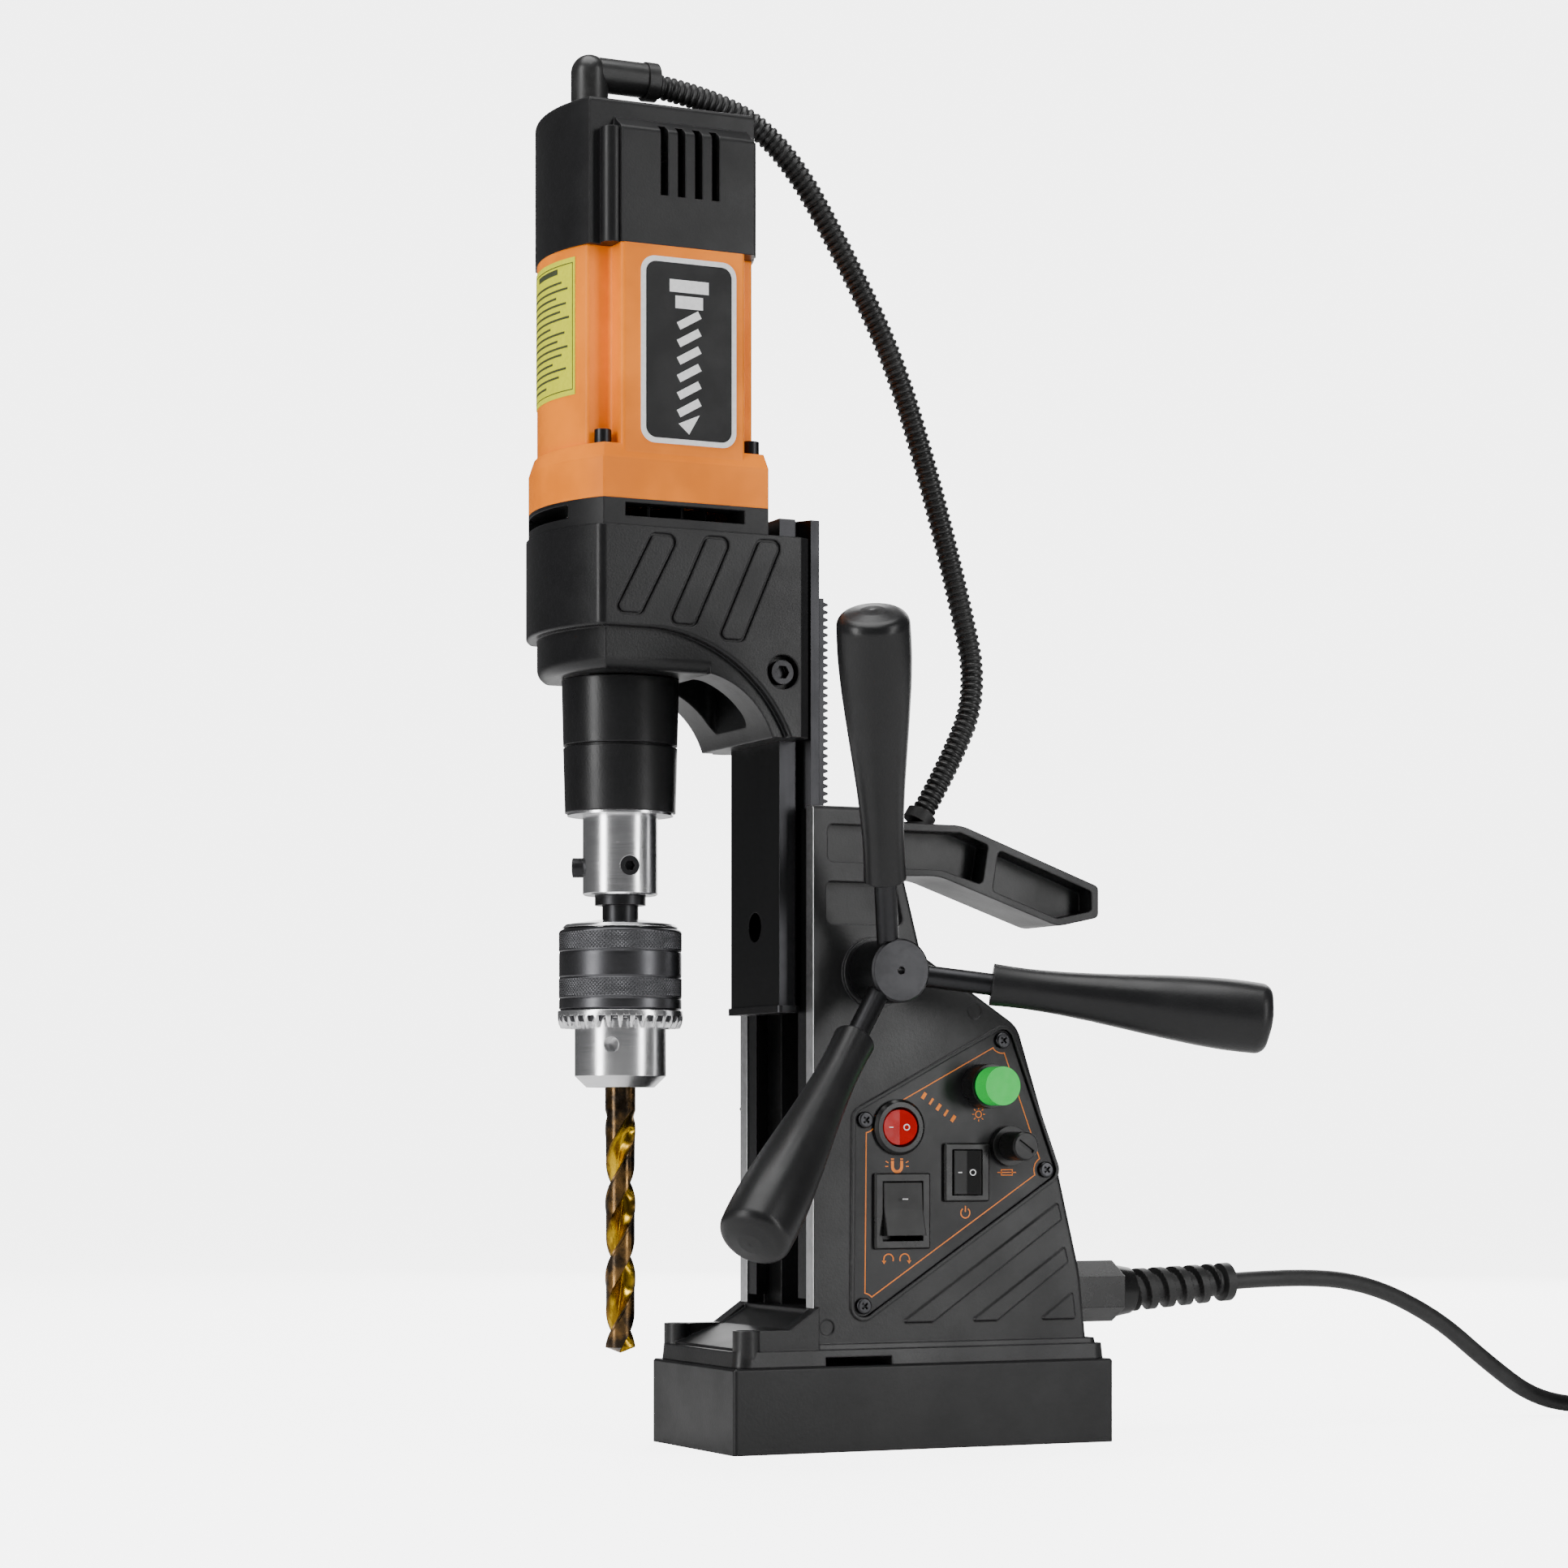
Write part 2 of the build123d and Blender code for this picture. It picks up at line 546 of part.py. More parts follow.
with BuildPart() as fuse_cap:
    with BuildSketch(near(PANEL_FACE - 3 - GAP)):
        with Locations(FUSE_AT):
            Circle(FUSE_CAP_R)
    extrude(amount=PANEL_FACE - 3 - GAP - FUSE_FRONT)
    with BuildSketch(near(PANEL_FACE + 16)):
        with Locations(FUSE_AT):
            Circle(4.3)
    extrude(amount=20)
    chamfer(fuse_cap.faces().sort_by(Axis.Y)[0].edges(), 0.7)
    with BuildSketch(near(FUSE_FRONT)):
        with Locations(FUSE_AT):
            Rectangle(8, 1.2, rotation=-35)
    extrude(amount=-1.0, mode=Mode.SUBTRACT)
save(fuse_cap.part, "fuse_cap")

BOARD_Y = 20.0
BOARD_AT, BOARD_SIZE = (6.0, 118.0), (42.0, 34.0)
with BuildPart() as controller_board:
    with BuildSketch(near(BOARD_Y)):
        with Locations(BOARD_AT):
            Rectangle(*BOARD_SIZE)
    extrude(amount=-1.6)
    with BuildSketch(near(BAY_BACK)):
        with Locations(BOARD_AT):
            with GridLocations(BOARD_SIZE[0] - 8, BOARD_SIZE[1] - 8, 2, 2):
                Circle(2.5)
    extrude(amount=BAY_BACK - BOARD_Y - 1)
    with BuildSketch(near(BOARD_Y)):
        with Locations((-6, 124), (4, 124), (-6, 112)):
            Circle(4)
        with Locations((18, 112)):
            Rectangle(12, 10)
    extrude(amount=9)
save(controller_board.part, "controller_board")

# ---------------------------------------------------------------- feed: bushes, pinion shaft, hub, levers
SHAFT_R = 7.0
HUB_R, HUB_BACK, HUB_FACE = 13.0, -38.6, -61.0
with BuildPart() as pinion_bushes:
    for y_back, length in ((-PINION_WELL_HALF - 1, STAND_HALF + 1 - PINION_WELL_HALF), (STAND_HALF - 1, 14)):
        with BuildSketch(near(y_back)):
            with Locations((PINION_X, PINION_Z)):
                Circle(BUSH_R)
                Circle(SHAFT_R + RUN, mode=Mode.SUBTRACT)
        extrude(amount=length)
save(pinion_bushes.part, "pinion_bushes")

with BuildPart() as feed_pinion:
    with BuildSketch(near(RACK_HALF + 2)):
        with Locations((PINION_X, PINION_Z)):
            teeth = gear_outline(RACK_MODULE, PINION_TEETH, 180 + 180 / PINION_TEETH)
            add(outline(teeth))
    extrude(amount=2 * RACK_HALF + 4)
    for y_from, y_to, r in ((RACK_HALF + 2, STAND_HALF - 1.5, SHAFT_R), (-RACK_HALF - 2, HUB_FACE + 4, SHAFT_R)):
        with BuildSketch(near(y_from)):
            with Locations((PINION_X, PINION_Z)):
                Circle(r)
        extrude(amount=y_from - y_to)
save(feed_pinion.part, "feed_pinion")

ROD_R = 4.5
ROD_START, ROD_END = 10.3, 60.0


def lever_plane(angle, along):
    """A plane across a lever at this distance from the apex, facing outward along the lever."""
    a, t = radians(angle), radians(LEVER_TILT)
    axis = Vector(cos(a) * cos(t), -sin(t), sin(a) * cos(t))
    side = Vector(-sin(a), 0, cos(a))
    origin = Vector(PINION_X, LEVER_APEX_Y, PINION_Z) + axis * along
    return Plane(origin=origin, x_dir=side, z_dir=axis)


with BuildPart() as feed_hub:
    with BuildSketch(near(HUB_BACK)):
        with Locations((PINION_X, PINION_Z)):
            Circle(HUB_R)
    extrude(amount=HUB_BACK - HUB_FACE)
    chamfer(feed_hub.edges().filter_by(GeomType.CIRCLE), 0.8)
    with BuildSketch(near(HUB_BACK)):
        with Locations((PINION_X, PINION_Z)):
            Circle(SHAFT_R)
    extrude(amount=HUB_BACK - HUB_FACE - 4, mode=Mode.SUBTRACT)
    with BuildSketch(near(HUB_FACE)):
        with Locations((PINION_X, PINION_Z)):
            Circle(1.6)
    extrude(amount=-4, mode=Mode.SUBTRACT)
    for angle in LEVER_ANGLES:
        with BuildSketch(lever_plane(angle, ROD_START)):
            Circle(ROD_R)
        extrude(amount=20, mode=Mode.SUBTRACT)
save(feed_hub.part, "feed_hub")

with BuildPart() as lever_rods:
    for angle in LEVER_ANGLES:
        with BuildSketch(lever_plane(angle, ROD_START)):
            Circle(ROD_R)
        extrude(amount=ROD_END - ROD_START)
save(lever_rods.part, "lever_rods")

GRIP_PROFILE = ((0, 8.6), (20, 8.4), (45, 10.2), (75, 13.2), (100, 14.6), (109, 14.4))
with BuildPart() as lever_grips:
    for angle in LEVER_ANGLES:
        here = lever_plane(angle, GRIP_START)
        base = Plane(origin=here.origin, x_dir=here.x_dir, z_dir=-here.y_dir)
        with BuildSketch(base):
            with BuildLine():
                Line((0, 0), (GRIP_PROFILE[0][1], 0))
                Spline(*[(r, s) for s, r in GRIP_PROFILE])
                ThreePointArc((14.4, 109), (13.2, 112.0), (10.4, 113.6))
                Polyline((10.4, 113.6), (5.0, GRIP_LENGTH - 0.3), (0, GRIP_LENGTH), (0, 0))
            make_face()
        revolve(axis=Axis(here.origin, here.z_dir))
        with BuildSketch(here):
            Circle(ROD_R)
        extrude(amount=ROD_END - GRIP_START, mode=Mode.SUBTRACT)
save(lever_grips.part, "lever_grips")

# ---------------------------------------------------------------- conduit between stand and motor
ELBOW_X, ELBOW_Z = -133.0, 560.0
COLLAR_END = -104.2
CONDUIT_ROUTE = ((COLLAR_END - 1, 0, 558.5), (-73, 0, 555.4), (-44, 0, 538), (-16, 0, 494), (5, 0, 456),
                 (21, 0, 410), (35, 0, 361), (45.5, 0, 318), (30.5, 0, 284),
                 (CONDUIT_FOOT[0] + 1.8, 0, CONDUIT_FOOT[1] + 3.4))
CONDUIT_AXIS = (Vector(*CONDUIT_ROUTE[-2]) - Vector(*CONDUIT_ROUTE[-1])).normalized()
with BuildPart() as motor_conduit:
    add(cord_tube(CONDUIT_ROUTE, CONDUIT_D, "motor_conduit"))
    split(bisect_by=Plane.YZ.offset(COLLAR_END))
save(motor_conduit.part, "motor_conduit")

with BuildPart() as conduit_grommet:
    with BuildSketch(level(CONDUIT_FOOT[1] - GROMMET_SINK, CONDUIT_FOOT[0])):
        Circle(GROMMET_R)
    extrude(amount=GROMMET_SINK + 1.6)
    with BuildSketch(Plane(origin=CONDUIT_ROUTE[-1], x_dir=(0, 1, 0), z_dir=CONDUIT_AXIS)):
        Circle(CONDUIT_D / 2 + 1.5)
    extrude(amount=2.6)
    with BuildSketch(Plane(origin=CONDUIT_ROUTE[-1], x_dir=(0, 1, 0), z_dir=CONDUIT_AXIS)):
        Circle(CONDUIT_D / 2 + 1.5)
    extrude(amount=-2)
    with BuildSketch(Plane(origin=CONDUIT_ROUTE[-1], x_dir=(0, 1, 0), z_dir=CONDUIT_AXIS)):
        Circle(CONDUIT_D / 2)
    extrude(amount=4, mode=Mode.SUBTRACT)
save(conduit_grommet.part, "conduit_grommet")

# ---------------------------------------------------------------- gland, strain relief, mains cable, coil, plug
GLAND_NUT = (88.0, 111.0)
RELIEF_START, RELIEF_END = 118.5, 170.2
RELIEF_RISE = 3.0
with BuildPart() as cable_gland:
    with BuildSketch(facing_x(GLAND_WALL_X - 8, 0, GLAND_Z)):
        Circle(GLAND_BORE_R)
    extrude(amount=8)
    with BuildSketch(facing_x(GLAND_WALL_X + 2, 0, GLAND_Z)):
        RegularPolygon(13.2, 6)
    extrude(amount=6)
    with BuildSketch(facing_x(GLAND_WALL_X, 0, GLAND_Z)):
        Circle(12)
    extrude(amount=GLAND_NUT[0] - GLAND_WALL_X)
    with BuildSketch(facing_x(GLAND_NUT[0], 0, GLAND_Z)):
        RegularPolygon(13.2, 6, rotation=30)
    extrude(amount=GLAND_NUT[1] - GLAND_NUT[0])
    with BuildSketch(facing_x(GLAND_NUT[1], 0, GLAND_Z)):
        Circle(11.4)
    extrude(amount=RELIEF_START - GLAND_NUT[1], taper=10)
save(cable_gland.part, "cable_gland")

relief_axis = Vector(RELIEF_END - RELIEF_START, 0, RELIEF_RISE).normalized()
relief_plane = Plane(origin=(RELIEF_START, 0, GLAND_Z), x_dir=(0, 1, 0), z_dir=relief_axis)
relief_length = hypot(RELIEF_END - RELIEF_START, RELIEF_RISE)
with BuildPart() as strain_relief:
    with BuildSketch(relief_plane):
        Circle(7.0)
    extrude(amount=relief_length)
    for k in range(5):
        with BuildSketch(relief_plane.offset(2.5 + 9.2 * k)):
            Circle(9.5 - 0.12 * k)
        extrude(amount=4.4)
    with BuildSketch(relief_plane.offset(relief_length - 5.5)):
        Circle(8.6)
    extrude(amount=5.5)
    with BuildSketch(relief_plane):
        Circle(CABLE_D / 2)
    extrude(amount=relief_length, mode=Mode.SUBTRACT)
    with BuildSketch(facing_x(RELIEF_START, 0, GLAND_Z)):
        Circle(20)
    extrude(amount=-5, mode=Mode.SUBTRACT)
save(strain_relief.part, "strain_relief")

COIL_INNER = COIL_RADII[0] - CABLE_D / 2
COIL_OUTER = COIL_RADII[1] + CABLE_D / 2
COIL_REST = 0.05
with BuildPart() as cable_coil:
    with BuildSketch(level(COIL_REST, *COIL_AT)):
        Circle(COIL_OUTER)
        Circle(COIL_INNER, mode=Mode.SUBTRACT)
    extrude(amount=(COIL_LAYERS - 1) * TURN_PITCH + CABLE_D)
    fillet(cable_coil.edges().filter_by(GeomType.CIRCLE), 2.5)
save(cable_coil.part, "cable_coil")

# The plug lies beside the coil: its lead leaves the top layer heading to -Y.
PLUG_R, PLUG_LENGTH = 17.5, 44.0
PLUG_X, PLUG_BACK_Y, PLUG_Z = COIL_AT[0] + COIL_RADII[1], COIL_AT[1] - 50, PLUG_R + 0.2
LEAD_Z = COIL_REST + CABLE_D / 2 + (COIL_LAYERS - 1) * TURN_PITCH
PLUG_LEAD = ((PLUG_X, COIL_AT[1], LEAD_Z), (PLUG_X + 0.6, COIL_AT[1] - 25, LEAD_Z - 1.2),
             (PLUG_X, PLUG_BACK_Y, PLUG_Z + 0.4))
with BuildPart() as mains_plug:
    for back, r, length in ((0, PLUG_R - 6, 8), (8, PLUG_R - 2, 18), (26, PLUG_R, PLUG_LENGTH - 26)):
        with BuildSketch(near(PLUG_BACK_Y - back)):
            with Locations((PLUG_X, PLUG_Z)):
                Circle(r)
        extrude(amount=length)
    chamfer(mains_plug.edges().filter_by(GeomType.CIRCLE).filter_by(lambda e: e.radius > PLUG_R - 1), 1.2)
    with BuildSketch(near(PLUG_BACK_Y - PLUG_LENGTH)):
        with Locations((PLUG_X - 9.5, PLUG_Z), (PLUG_X + 9.5, PLUG_Z)):
            Circle(2.4)
    extrude(amount=19)
save(mains_plug.part, "mains_plug")

FLOOR = CABLE_D / 2 + COIL_REST
COIL_ENTRY = (COIL_AT[0], COIL_AT[1] + COIL_RADII[1])
CABLE_ROUTE = ((RELIEF_END - 3 * relief_axis.X, 0, GLAND_Z + RELIEF_RISE - 3 * relief_axis.Z), (203, 0, 66.4),
               (242, 0, 63.0), (279, 0, 47.0), (308, 0, 25.0), (333, -0.4, 8.5), (361, -1.0, FLOOR),
               (*COIL_ENTRY, FLOOR))
with BuildPart() as mains_cable:
    add(cord_tube(CABLE_ROUTE, CABLE_D, "mains_cable"))
    add(cord_tube(PLUG_LEAD, CABLE_D, "plug lead"))
    split(bisect_by=Plane.XZ.offset(-PLUG_BACK_Y), keep=Keep.BOTTOM)
save(mains_cable.part, "mains_cable")

# ---------------------------------------------------------------- slide, rack, stop
SLIDE_SECTION = ((SLIDE_FRONT, 24.0), (-52.0, 24.0), (-49.5, 19.0), (-45.75, 25.5), (SLIDE_REAR, 25.5))
with BuildPart() as slide_bar:
    half_section = list(SLIDE_SECTION)
    with BuildSketch(level(SLIDE_FOOT)):
        add(outline(half_section + [(x, -y) for x, y in reversed(half_section)]))
    extrude(amount=SLIDE_TOP - SLIDE_FOOT)
    with BuildSketch(facing_x(SLIDE_FRONT, 0, 215)):
        Circle(6.2)
    extrude(amount=7, mode=Mode.SUBTRACT)
    with BuildSketch(facing_x(SLIDE_REAR, 0, 0)):
        with Locations((0, (RACK_FOOT + RACK_TOP) / 2)):
            Rectangle(2 * RACK_HALF, RACK_TOP - RACK_FOOT)
    extrude(amount=-2, mode=Mode.SUBTRACT)
save(slide_bar.part, "slide_bar")

rack_tooth = pi * RACK_MODULE
with BuildPart() as rack:
    tooth_line = []
    z = PINION_Z - int((PINION_Z - RACK_FOOT) / rack_tooth) * rack_tooth
    while z < RACK_TOP - 1:
        for dz, dx in ((-1.05, -1.15), (-0.38, 0.8), (0.38, 0.8), (1.05, -1.15)):
            tooth_line.append((RACK_PITCH_X + dx * RACK_MODULE, z + dz * RACK_MODULE))
        z += rack_tooth
    with BuildSketch(near(RACK_HALF)):
        add(outline([(SLIDE_REAR - 2, RACK_FOOT), (RACK_PITCH_X - 1.15, RACK_FOOT), *tooth_line,
                     (RACK_PITCH_X - 1.15, RACK_TOP), (SLIDE_REAR - 2, RACK_TOP)]))
    extrude(amount=2 * RACK_HALF)
save(rack.part, "rack")

with BuildPart() as slide_stop:
    with BuildSketch(level(SLIDE_FOOT - 3)):
        with Locations(((SLIDE_FRONT - 1.2 - 50.6) / 2, 0)):
            Rectangle(9.8, 51)
    extrude(amount=3)
    fillet(slide_stop.edges().filter_by(Axis.Z), 2)
save(slide_stop.part, "slide_stop")

# ---------------------------------------------------------------- gearbox housing
def bowed_plan(front_x, bow, rear_x, half, rear_bow=0.0):
    """A plan with straight sides at Y = +-half, a front bowed towards -X and a flat or bowed rear."""
    with BuildSketch() as face:
        with BuildLine():
            ThreePointArc((front_x, half), (front_x - bow, 0), (front_x, -half))
            Line((front_x, -half), (rear_x, -half))
            if rear_bow:
                ThreePointArc((rear_x, -half), (rear_x + rear_bow, 0), (rear_x, half))
            else:
                Line((rear_x, -half), (rear_x, half))
            Line((rear_x, half), (front_x, half))
        make_face()
    return face.sketch


def arched_side(front_x, foot_z, arch_start, arch_mid, arch_end_x):
    """Side outline of the gear case: level foot, then an arch down to the rear pad."""
    with BuildSketch() as face:
        with BuildLine():
            Line((front_x, foot_z), (arch_start, foot_z))
            ThreePointArc((arch_start, foot_z), arch_mid, (arch_end_x, PAD_FOOT))
            Polyline((arch_end_x, PAD_FOOT), (HEAD_REAR, PAD_FOOT), (HEAD_REAR, CASE_TOP), (front_x, CASE_TOP),
                     (front_x, foot_z))
        make_face()
    return face.sketch


PAD_FOOT = 290.0
CORE_HALF, CORE_SPLIT_X = HEAD_HALF - 3.6, -95.0
CLAMP_AT = (-64.4, 316.3)
CORNER_SCREWS = ((-140.0, -31.2), (-140.0, 31.2), (-75.3, -31.2), (-75.3, 31.2))
BEARING_R = 21.0
SPINDLE_SHAFT_R = 12.0
SHAFT_SMALL_R = 4.0
SMALL_BEARING_R, ARMATURE_BEARING_R = 8.0, 11.0
PLATE_FOOT = 364.3
CASE_SLOTS = (
    ((-122.3, 369.0), (-109.4, 369.0), (-126.4, 335.7), (-139.3, 335.7)),
    ((-98.8, 369.3), (-86.4, 369.3), (-103.0, 332.3), (-115.7, 332.3)),
    ((-75.7, 369.5), (-63.8, 369.5), (-81.9, 327.2), (-94.2, 327.2)),
)
SLOT_CORNER, SLOT_LINE, SLOT_DEPTH = 3.4, 1.2, 1.0
REAR_BEVEL = (4.2, 2.4)  # along X and along Y
ARCH_POCKET = (-94.0, -70.0, 18.0, 320.0)  # front, rear, half width, ceiling

with BuildPart() as case_core:
    with BuildSketch(level(NECK_FOOT)):
        add(bowed_plan(-140.6, 10.6, CORE_SPLIT_X + 6, CORE_HALF))
    extrude(amount=CASE_TOP - NECK_FOOT)
    foot_edges = case_core.edges().group_by(Axis.Z)[0]
    fillet(foot_edges.filter_by(lambda e: e.center().X < CORE_SPLIT_X), 5)
    with BuildSketch(near(0)):
        add(arched_side(CORE_SPLIT_X, NECK_FOOT, CORE_SPLIT_X + 0.5, (-78.5, 306.5), -67.5))
    extrude(amount=CORE_HALF, both=True)

with BuildPart() as gearbox_housing:
    with BuildSketch(level(PAD_FOOT - 5)):
        add(bowed_plan(-143.8, 11.8, HEAD_REAR, HEAD_HALF))
    extrude(amount=CASE_TOP - PAD_FOOT + 5)
    with BuildSketch(near(0)):
        add(arched_side(-170, 331.2, -122, (-84.5, 318.6), -61.5))
    extrude(amount=60, both=True, mode=Mode.INTERSECT)
    upright = gearbox_housing.edges().filter_by(Axis.Z)
    fillet(upright.filter_by(lambda e: e.center().X < -140), 4)
    fillet(gearbox_housing.edges().filter_by(lambda e: e.center().Z < 331.3 and e.center().X < -61.6), 1.2)
    add(case_core.part)
    with BuildSketch(level(CASE_FLOOR)):
        add(bowed_plan(-139, 9.8, -70, HEAD_HALF - 5))
    extrude(amount=CASE_TOP - CASE_FLOOR, mode=Mode.SUBTRACT)
    with BuildSketch(level(PAD_FOOT - 6)):
        with Locations(((SLIDE_FRONT + HEAD_REAR) / 2 + 2, 0)):
            Rectangle(HEAD_REAR - SLIDE_FRONT + 4, 48)
    extrude(amount=CASE_TOP - PAD_FOOT + 10, mode=Mode.SUBTRACT)
    with BuildSketch(level(CASE_FLOOR, SPINDLE_X)):
        Circle(BEARING_R)
    extrude(amount=NECK_FOOT + 1 - CASE_FLOOR, mode=Mode.SUBTRACT)
    with BuildSketch(level(CASE_FLOOR, SPINDLE_X)):
        Circle(SPINDLE_SHAFT_R + 1)
    extrude(amount=-30, mode=Mode.SUBTRACT)
    with BuildSketch(level(CASE_FLOOR, COUNTER_X)):
        Circle(SMALL_BEARING_R)
    extrude(amount=-6.5, mode=Mode.SUBTRACT)
    for side in (-1, 1):
        with BuildSketch(near(side * HEAD_HALF)):
            with Locations(CLAMP_AT):
                Circle(7)
        extrude(amount=side * 5, mode=Mode.SUBTRACT)
        with BuildSketch(near(side * (HEAD_HALF - 5))):
            with Locations(CLAMP_AT):
                Circle(3)
        extrude(amount=side * (HEAD_HALF - 5 - 24), mode=Mode.SUBTRACT)
        for slot in CASE_SLOTS:
            with BuildSketch(near(side * HEAD_HALF)):
                add(outline(slot, SLOT_CORNER))
                add(offset(outline(slot, SLOT_CORNER), amount=-SLOT_LINE, mode=Mode.PRIVATE), mode=Mode.SUBTRACT)
            extrude(amount=side * SLOT_DEPTH, mode=Mode.SUBTRACT)
        with BuildSketch(level(PAD_FOOT - 1)):
            add(outline(((HEAD_REAR - REAR_BEVEL[0], side * HEAD_HALF),
                         (HEAD_REAR, side * (HEAD_HALF - REAR_BEVEL[1])),
                         (HEAD_REAR + 2, side * (HEAD_HALF - REAR_BEVEL[1])),
                         (HEAD_REAR + 2, side * (HEAD_HALF + 2)),
                         (HEAD_REAR - REAR_BEVEL[0], side * (HEAD_HALF + 2)))))
        extrude(amount=CASE_TOP - PAD_FOOT + 2, mode=Mode.SUBTRACT)
    with BuildSketch(level(PAD_FOOT - 1, (ARCH_POCKET[0] + ARCH_POCKET[1]) / 2)):
        RectangleRounded(ARCH_POCKET[1] - ARCH_POCKET[0], 2 * ARCH_POCKET[2], 4)
    extrude(amount=ARCH_POCKET[3] - PAD_FOOT + 1, mode=Mode.SUBTRACT)
save(gearbox_housing.part, "gearbox_housing")

with BuildPart() as head_screws:
    for side in (-1, 1):
        with BuildSketch(near(side * (HEAD_HALF - 5))):
            with Locations(CLAMP_AT):
                Circle(4.9)
        extrude(amount=-side * 4.4)
        with BuildSketch(near(side * (HEAD_HALF - 5))):
            with Locations(CLAMP_AT):
                Circle(3)
        extrude(amount=side * (HEAD_HALF - 5 - 24.2))
        with BuildSketch(near(side * (HEAD_HALF - 0.6))):
            with Locations(CLAMP_AT):
                RegularPolygon(2.9, 6)
        extrude(amount=side * 3, mode=Mode.SUBTRACT)
    for x, y in CORNER_SCREWS:
        with BuildSketch(level(SKIRT_TOP - 0.6, x, y)):
            Circle(3.4)
        extrude(amount=6.2)
        with BuildSketch(level(CASE_TOP + 1, x, y)):
            Circle(1.9)
        extrude(amount=SKIRT_TOP - CASE_TOP - 1)
        with BuildSketch(level(SKIRT_TOP + 5.6, x, y)):
            RegularPolygon(1.9, 6)
        extrude(amount=-3, mode=Mode.SUBTRACT)
save(head_screws.part, "head_screws")

# ---------------------------------------------------------------- vent ring with the bearing plate
SKIRT = dict(front_x=-142.7, bow=12.0, rear_x=-70.7, half=38.4, rear_bow=8.0)
VENT_LIP, VENT_ROOF = 375.0, 380.4
with BuildPart() as vent_ring:
    with BuildSketch(level(CASE_TOP)):
        add(bowed_plan(**SKIRT))
    extrude(amount=SKIRT_FOOT - CASE_TOP)
    with BuildSketch(level(CASE_TOP + 2.2, MOTOR_X)):
        Circle(MOTOR_BORE)
    extrude(amount=SKIRT_FOOT - CASE_TOP, mode=Mode.SUBTRACT)
    with BuildSketch(level(PLATE_FOOT)):
        add(bowed_plan(-138.8, 9.7, -70.2, HEAD_HALF - 5.2))
    extrude(amount=CASE_TOP - PLATE_FOOT)
    with BuildSketch(near(0)):
        with Locations((-107.2, (VENT_LIP + VENT_ROOF) / 2)):
            Rectangle(52, VENT_ROOF - VENT_LIP)
    extrude(amount=60, both=True, mode=Mode.SUBTRACT)
    with BuildSketch(facing_x(-100, 0, (VENT_LIP + VENT_ROOF) / 2)):
        Rectangle(44, VENT_ROOF - VENT_LIP)
    extrude(amount=-70, mode=Mode.SUBTRACT)
    with BuildSketch(level(PLATE_FOOT, MOTOR_X)):
        Circle(ARMATURE_BEARING_R)
    extrude(amount=6.8, mode=Mode.SUBTRACT)
    with BuildSketch(level(PLATE_FOOT, MOTOR_X)):
        Circle(SHAFT_SMALL_R + 1.5)
    extrude(amount=20, mode=Mode.SUBTRACT)
    with BuildSketch(level(PLATE_FOOT, COUNTER_X)):
        Circle(SMALL_BEARING_R)
    extrude(amount=6.2, mode=Mode.SUBTRACT)
    with BuildSketch(level(CASE_TOP + 1)):
        with Locations(*CORNER_SCREWS):
            Circle(1.9)
    extrude(amount=20, mode=Mode.SUBTRACT)
save(vent_ring.part, "vent_ring")

# ---------------------------------------------------------------- motor housing
FLAT_FRONT, FLAT_REAR, FLAT_HALF = -134.5, -80.5, 37.5
BODY_FRONT, BODY_REAR, NOTCH_HALF = -145.0, -73.0, 27.0
BODY_BOW, BODY_REAR_BOW = 6.5, 5.5
with BuildPart() as motor_housing:
    with BuildSketch(level(SKIRT_FOOT)):
        add(bowed_plan(**SKIRT))
    extrude(amount=SKIRT_TOP - SKIRT_FOOT)
    chamfer(motor_housing.edges().group_by(Axis.Z)[-1], 6.0, 2.0)
    with BuildSketch(level(SKIRT_TOP - 6)):
        with BuildLine():
            ThreePointArc((BODY_FRONT, NOTCH_HALF), (BODY_FRONT - BODY_BOW, 0), (BODY_FRONT, -NOTCH_HALF))
            Polyline((BODY_FRONT, -NOTCH_HALF), (FLAT_FRONT, -NOTCH_HALF), (FLAT_FRONT, -FLAT_HALF),
                     (FLAT_REAR, -FLAT_HALF), (FLAT_REAR, -NOTCH_HALF), (BODY_REAR, -NOTCH_HALF))
            ThreePointArc((BODY_REAR, -NOTCH_HALF), (BODY_REAR + BODY_REAR_BOW, 0), (BODY_REAR, NOTCH_HALF))
            Polyline((BODY_REAR, NOTCH_HALF), (FLAT_REAR, NOTCH_HALF), (FLAT_REAR, FLAT_HALF),
                     (FLAT_FRONT, FLAT_HALF), (FLAT_FRONT, NOTCH_HALF), (BODY_FRONT, NOTCH_HALF))
        make_face()
        fillet(vertices(), 1.6)
    extrude(amount=SEAM_Z - SKIRT_TOP + 6)
    with BuildSketch(level(SKIRT_FOOT, MOTOR_X)):
        Circle(MOTOR_BORE)
    extrude(amount=SEAM_Z - SKIRT_FOOT, mode=Mode.SUBTRACT)
    with BuildSketch(level(SKIRT_TOP)):
        with Locations(*CORNER_SCREWS):
            Circle(1.9)
    extrude(amount=-40, mode=Mode.SUBTRACT)
    with BuildSketch(level(SKIRT_TOP)):
        with Locations(*CORNER_SCREWS):
            Circle(4.0)
    extrude(amount=-0.6, mode=Mode.SUBTRACT)
save(motor_housing.part, "motor_housing")


